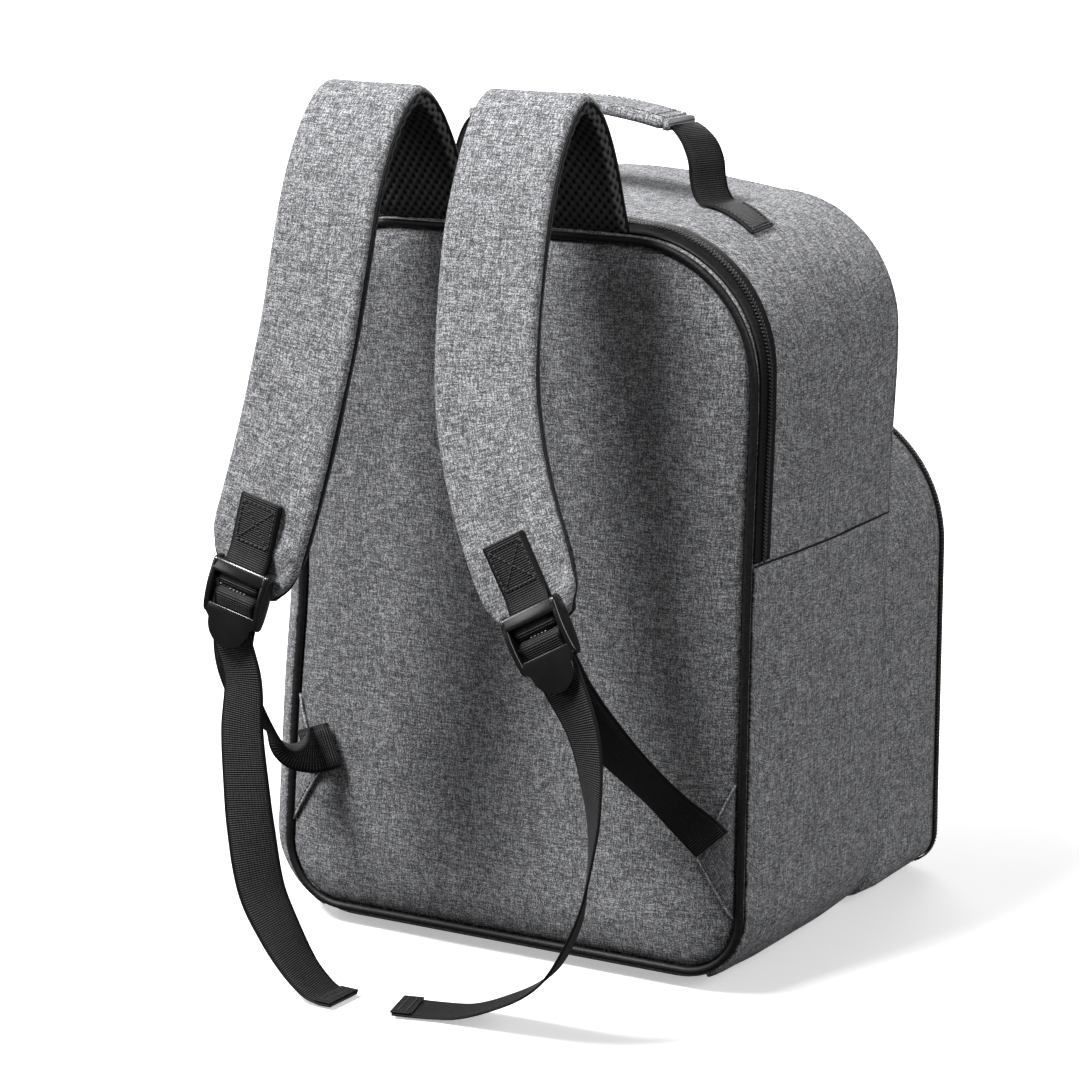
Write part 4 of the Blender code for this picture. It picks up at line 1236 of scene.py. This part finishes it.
def hem(name, stations):
    """The turned-back end of a webbing: a second layer on its upper side."""
    end, across = stations[-1]
    along = (end - stations[-2][0]).normalized()
    across = (across - along * across.dot(along)).normalized()
    up = along.cross(across)
    if up.z < 0:
        up = -up
    lift = up * (WEBBING + GAP / 2)
    ribbon(name, [(end + along * reach + lift, across) for reach in (-HEM_LENGTH, -HEM_LENGTH / 2, 0.0006)])
    for index, back in enumerate(HEM_ROWS):
        middle = end - along * back + lift + up * (WEBBING / 2)
        row_across(f"{name}_stitches_{index}", middle, across, up, STITCH_RADIUS * 1.3)


def bar_turn(axes, radius, down, out, start, end, steps):
    angles = [radians(angle) for angle in spaced(start, end, steps)]
    return [to_world(axes, 0.0, down + radius * sin(angle), out + radius * cos(angle)) for angle in angles]


def in_buckle(axes, rows):
    return [to_world(axes, 0.0, down, out) for down, out in sized(rows)]


def make_end_webbings():
    radius = ANCHOR_BAR + GAP + WEBBING / 2 + LOOP_SLACK
    under = WEBBING / 2
    over = under + WEBBING + GAP
    for side, label in SIDES:
        axes = buckle_frame(side)
        places = [to_world(axes, 0.0, v, under)
                  for v in (-PATCH_LENGTH, -0.5 * PATCH_LENGTH, 0.0, ANCHOR_BAR_DOWN / 2)]
        places += bar_turn(axes, radius, ANCHOR_BAR_DOWN, ANCHOR_BAR_OUT, 180, 0, 8)
        places += in_buckle(axes, SEWN_RETURN_ROWS)
        places += [to_world(axes, 0.0, share * PATCH_LENGTH, over) for share in (-0.2, -0.6, -1.0)]
        ribbon(f"strap_end_ribbed_{label}", [(place, axes[1]) for place in places],
               f"strap_end_webbing_{label}")
        cross_box(f"patch_stitches_{label}", axes, over + WEBBING / 2)


def cross_box(name, axes, level):
    """The crossed box that holds the webbing on the strap."""
    high = -PATCH_LENGTH + BOX_MARGIN
    low = -BOX_LOW * PATCH_LENGTH
    corners = ((-BOX_HALF, high), (BOX_HALF, high), (BOX_HALF, low), (-BOX_HALF, low))
    a, b, c, d = (to_world(axes, u, v, level) for u, v in corners)
    for index, (start, end) in enumerate(((a, b), (b, c), (c, d), (d, a), (a, c), (b, d))):
        stitch_row(f"{name}_{index}", straight(start, end, 3), axes[3])


def tab_corners(side):
    height = PIPING_TOP - PIPING_BOTTOM
    clearance = PIPING_RADIUS + 3 * GAP
    y = BACK + PIPING_RADIUS - PANEL_PAD - GAP - TAB_THICKNESS
    low = TAB_HEIGHT_RIGHT if side > 0 else TAB_HEIGHT_LEFT

    def on_edge(z):
        share = (z - PIPING_BOTTOM) / height
        return Vector((side * (edge_reach(share, side) - clearance), y, z))

    tip = on_edge(low + TAB_TIP * TAB_LENGTH) - Vector((side * TAB_REACH, 0, 0))
    return on_edge(low), on_edge(low + TAB_LENGTH), tip


def make_tabs():
    for side, label in SIDES:
        low, high, tip = tab_corners(side)
        rings = [[draped(place) for place in straight(a, b, TAB_STEPS)]
                 for a, b in zip(straight(low, tip, TAB_STEPS), straight(low, high, TAB_STEPS))]
        sheet = skin(f"corner_tab_cloth_{label}", rings, PANEL_SHADED_GREY)
        weld(sheet)
        if sheet.data.polygons[0].normal.y > 0:
            sheet.data.flip_normals()
        thicken(sheet, TAB_THICKNESS)
        finish_piece(sheet, [f"corner_tab_{label}"])
        # Edge cords in the strap's lighter cloth, not the tab's darker one: a painted highlight along the
        # tab's edges
        for index, end in enumerate((high, low)):
            places = [draped(place) for place in straight(tip, end, 8)]
            edge = tube(f"tab_edge_highlight_{label}_{index}", places, TAB_EDGE_RADIUS, GREY)
            finish_piece(edge)
        inward = Vector((-side, 0, 0))
        rows = [(f"stitches_{label}_{index}", GREY_THREAD,
                 straight(high.lerp(low, share * 0.3) + inward * 0.0008, tip.lerp(low, share), 4))
                for index, share in enumerate((0.09, 0.20))]
        seam = [place - inward * 0.002 for place in straight(tip.lerp(low, 0.2), low, 4)]
        for name, thread, places in (*rows, (f"seam_{label}", DARK_THREAD, seam)):
            stitch_row(f"tab_{name}", [draped(place) for place in places], OUT, STITCH_RADIUS, thread)


def smooth_curve(start, start_pull, end, end_pull, steps):
    points = []
    for t in spaced(0.0, 1.0, steps):
        s = 1 - t
        points.append(start * s**3 + (start + start_pull) * (3 * s * s * t)
                      + (end + end_pull) * (3 * s * t * t) + end * t**3)
    return points


def load_stations(side, axes):
    """The webbing from its corner tab to behind the buckle, and its width there."""
    across = axes[1]
    entry = in_buckle(axes, LOAD_ENTRY_ROWS)[0]
    _, high, tip = tab_corners(side)
    edge = (high - tip).normalized()
    away = Vector((-side * abs(edge.z), 0, abs(edge.x)))
    start = tip + edge * (WEBBING_WIDTH / 2) - away * WEBBING_TUCK + OUT * (GAP + WEBBING / 2)
    stations = []
    turn_start, turn_end = LOAD_TURN_RIGHT if side > 0 else LOAD_TURN_LEFT
    if side < 0:
        stations = folded_start(start, edge, away)
        start = stations[-1][0] - away * FOLD_RUN + OUT * GAP
        away = FOLD_AWAY

    reach = (entry - start).length
    sag = LOAD_SAG_RIGHT if side > 0 else LOAD_SAG_LEFT
    start_pull = away * (LOAD_RUN * reach) + Vector((0, -0.02, 0.08)) * (reach * side)
    route = smooth_curve(start, start_pull, entry, axes[2] * (sag * reach), LOAD_STEPS)
    for step, (place, ahead) in enumerate(zip(route, directions(route))):
        flat = ahead.cross(OUT).normalized() if side > 0 else -edge
        middle = flat.lerp(across, 0.5) if side > 0 else EDGE_ON
        turn = (step / LOAD_STEPS - turn_start) / (turn_end - turn_start)
        turn = 2 * min(1.0, max(0.0, turn))
        width = flat.lerp(middle, turn) if turn < 1.0 else middle.lerp(across * side, turn - 1)
        stations.append((place, width.normalized()))
    return stations, across * side


def folded_start(start, edge, away):
    """The left webbing's fold back over itself, just past its tab."""
    stations = [(start, -edge)]
    axis = start + away * LOAD_FOLD + OUT * FOLD_RADIUS
    for angle in spaced(-pi / 2, pi / 2, FOLD_STEPS):
        stations.append((axis + (away * cos(angle) + OUT * sin(angle)) * FOLD_RADIUS, -edge))
    return stations


def make_adjust_webbings():
    for side, label, tail_rows in ((1, "right", TAIL_ROWS_RIGHT), (-1, "left", TAIL_ROWS_LEFT)):
        axes = buckle_frame(side)
        stations, width = load_stations(side, axes)
        radius = SLIDE_BAR + GAP + WEBBING / 2 + LOOP_SLACK
        behind_bar = in_buckle(axes, LOAD_ENTRY_ROWS)[1]
        tail_exit = in_buckle(axes, TAIL_EXIT_ROWS)
        turn = bar_turn(axes, radius, SLIDE_BAR_DOWN, SLIDE_BAR_OUT, -180, 20, 10)
        stations += [(place, width) for place in (behind_bar, *turn, *tail_exit)]
        tail_start = tail_exit[-1]
        drop = tail_start.z
        for down, sideways, out, turned in tail_rows:
            place = tail_start + Vector((sideways, -out, -down)) * drop
            angle = radians(turned)
            stations.append((place, side * Vector((cos(angle), sin(angle), 0))))
        ribbon(f"adjust_ribbed_{label}", stations, f"adjust_webbing_{label}")
        hem(f"tail_hem_{label}", stations)


def top_height(outline, x):
    for a, b in zip(outline, outline[1:]):
        if a.z > SIDE_POCKET_TOP and b.x <= x <= a.x:
            return a.z + (b.z - a.z) * (x - a.x) / (b.x - a.x)
    return PIPING_TOP


def on_top(place, lift):
    """The spot on the body's top at a place's x and y, lifted off it."""
    outline = body_at((place.y - BACK) / BODY_DEPTH, lift)
    ground = Vector((place.x, place.y, top_height(outline, place.x)))
    ground.z += slump(ground)
    return ground


def make_handle():
    for side, label in SIDES:
        stations = handle_stations(side)
        ribbon(f"handle_ribbed_{label}", stations, f"handle_strap_{label}", skewed=True)
        foot_stitches(f"handle_foot_stitches_{label}", stations[:FOOT_STEPS + 1])
    make_grip()


def handle_stations(side):
    """Webbing from the slanted end of its foot up into the grip."""
    turn = radians(HANDLE_TURN)
    foot_along = Vector((side * cos(turn), -sin(turn), 0))
    inner = Vector((side * HANDLE_HALF_SPAN, HANDLE_Y, 0))
    lift = 3 * GAP + WEBBING / 2
    stations = []
    for share in spaced(0.0, 1.0, FOOT_STEPS):
        middle = inner + foot_along * (FOOT_LENGTH * (1 - share))
        slant = Vector((side * sin(turn * share), cos(turn * share), 0))
        width = on_top(middle + slant * 0.01, lift) - on_top(middle - slant * 0.01, lift)
        stations.append((on_top(middle, lift), width.normalized()))
    base = stations[-1][0].z
    rise = HANDLE_TOP - HANDLE_BOW - base
    reach = HANDLE_HALF_SPAN - HANDLE_GRIP_HALF
    for inwards, up, share in HANDLE_ROWS:
        place = Vector((inner.x - side * inwards * reach, inner.y, base + up * rise))
        stations.append((place, Vector((side * sin(turn * share), cos(turn * share), 0))))
    return stations


def grip_height(share):
    """The grip's middle height at a share of its length."""
    return HANDLE_TOP - HANDLE_BOW * (1 - sin(pi * share))


def make_grip():
    half = HANDLE_GRIP_THICKNESS / 2
    section = pillow_section(HANDLE_GRIP_WIDTH, -half, half, GRIP_EDGE)
    rings = []
    for share in spaced(0.0, 1.0, GRIP_STEPS):
        center = Vector((HANDLE_GRIP_HALF * (2 * share - 1), HANDLE_Y, grip_height(share)))
        tilt = atan2(HANDLE_BOW * pi * cos(pi * share), 2 * HANDLE_GRIP_HALF)
        outward = Vector((-sin(tilt), 0, cos(tilt)))
        rings.append([center - OUT * u + outward * v for u, v in section])
    left, right = (closing(rim, (MOUTH_SHARE,))[0] for rim in (rings[0], rings[-1]))
    sunk = Vector((MOUTH_DEPTH, 0, 0))
    # The right mouth comes before the last two rings, which leaves a folded lip there
    rings = [[point + sunk for point in left], left, *rings[:-2],
             right, [point - sunk for point in right], *rings[-2:]]
    grip = skin("handle_grip_cloth", rings, GREY, closed=True, caps=True)
    soft_dents(grip, 0.0005, 60.0)
    finish_piece(grip, ["handle_grip"])
    grip_stitches(half)


def foot_stitches(name, stations):
    """A double row across the foot's end and one down each side."""
    outs = []
    for (place, across), (ahead, _) in zip(stations, stations[1:]):
        out = (ahead - place).cross(across).normalized()
        outs.append(out if out.z > 0 else -out)
    level = WEBBING / 2
    place, across = stations[0]
    for index, reach in enumerate((0.07, 0.16)):
        middle = place.lerp(stations[1][0], reach * FOOT_STEPS / 2) + outs[0] * level
        row_across(f"{name}_{index}", middle, across, outs[0])
    for index, u in enumerate((-0.40, 0.40)):
        places = [place + across * (u * WEBBING_WIDTH) + out * level
                  for (place, across), out in zip(stations, outs)]
        stitch_row(f"{name}_side_{index}", places, outs)


def grip_stitches(half):
    """The stitched outline of the grip's sleeve, and a seam near each end."""
    reach = HANDLE_GRIP_HALF - GRIP_SEAM_INSET
    width = HANDLE_GRIP_WIDTH / 2 - GRIP_SEAM_INSET

    def on_grip(x, u):
        share = (x / HANDLE_GRIP_HALF + 1) / 2
        return Vector((x, HANDLE_Y + u, grip_height(share) + half + 0.0002))

    lines = [[on_grip(x, u) for x in spaced(-reach, reach, 20)] for u in (-width, width)]
    for x in (-reach, -reach + GRIP_SEAM_GAP, reach - GRIP_SEAM_GAP, reach):
        lines.append([on_grip(x, u) for u in spaced(-width, width, 3)])
    for index, line in enumerate(lines):
        stitch_row(f"grip_stitches_{index}", line, Vector((0, 0, 1)), STITCH_RADIUS * 0.8, DARK_THREAD,
                   sink=0.6)


def make_pull(name, top, across, down, node):
    """A flat pull plate, narrowed at both ends."""
    shape = bmesh.new()
    half = PULL_WIDTH / 2
    right = [(0.6 * half, 0.0), (half, 0.003), (half, 0.85 * PULL_LENGTH), (0.6 * half, PULL_LENGTH)]
    left = [(-u, v) for u, v in reversed(right)]
    outline = left[-1:] + right + left[:-1]
    axes = (top, across, down, down.cross(across).normalized())
    add_prism(shape, axes, outline, -PULL_THICKNESS / 2, PULL_THICKNESS / 2, "n", bevel=0.0003)
    finish_piece(item_from(shape, name, PLASTIC, sharp_angle=35), [node])


def make_pulls():
    low, high = (Vector(corner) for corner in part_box("main_zip_pull"))
    middle = (low + high) / 2
    top = Vector((low.x + 0.75 * (high.x - low.x), middle.y, high.z))
    bottom = Vector((low.x + 0.25 * (high.x - low.x), middle.y, low.z))
    make_pull("main_pull_plate", top, OUT, (bottom - top).normalized(), "main_zip_pull")
    low, high = (Vector(corner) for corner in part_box("front_zip_pull"))
    top = Vector(((low.x + high.x) / 2, (low.y + high.y) / 2, high.z))
    make_pull("front_pull_plate", top, Vector((-1, 0, 0)), Vector((0, 0, -1)), "front_zip_pull")


def make_camera():
    data = bpy.data.cameras.new("camera")
    data.lens = LENS
    data.sensor_width = SENSOR
    data.clip_end = 100
    item = new_object("camera", data)
    item.location = CAMERA_PLACE
    item.rotation_euler = (radians(CAMERA_TILT), 0, radians(CAMERA_TURN))
    bpy.context.scene.camera = item


def add_light(name, bearing, elevation, strength, spread):
    data = bpy.data.lights.new(name, "SUN")
    data.energy = strength
    data.angle = radians(spread)
    around, up = radians(bearing), radians(elevation)
    towards = Vector((sin(around) * cos(up), -cos(around) * cos(up), sin(up)))
    new_object(name, data).rotation_euler = (-towards).to_track_quat("-Z", "Y").to_euler()


def make_studio():
    mesh = bpy.data.meshes.new("floor")
    corners = [(x * FLOOR_REACH, y * FLOOR_REACH, 0) for x, y in ((-1, -1), (1, -1), (1, 1), (-1, 1))]
    mesh.from_pydata(corners, [], [(0, 1, 2, 3)])
    material, tree, shader = new_material("floor", 0.9, 0.5)
    paint(tree, shader, object_noise(tree, 2.0), ((0.3, (0.90,) * 3), (0.7, (0.93,) * 3)))
    shader.inputs["Emission Color"].default_value = (1, 1, 1, 1)
    shader.inputs["Emission Strength"].default_value = FLOOR_GLOW
    floor = make_item("floor", mesh, material)
    floor.location.z = FLOOR_LEVEL
    floor.visible_diffuse = False
    floor.visible_glossy = False
    world = bpy.data.worlds.new("studio")
    world.use_nodes = True
    sky = world.node_tree.nodes["Background"]
    sky.inputs["Color"].default_value = (1, 1, 1, 1)
    sky.inputs["Strength"].default_value = SKY_STRENGTH
    bpy.context.scene.world = world
    for row in LIGHT_ROWS:
        add_light(*row)
    bpy.context.scene.view_settings.view_transform = "Standard"


def main():
    make_camera()
    make_studio()
    make_body()
    make_back_panel()
    make_piping()
    make_main_zip()
    make_side_pockets()
    make_front_pocket()
    make_front_zip()
    make_front_panel()
    make_straps()
    make_end_webbings()
    make_buckles()
    make_tabs()
    make_adjust_webbings()
    make_handle()
    make_pulls()


main()
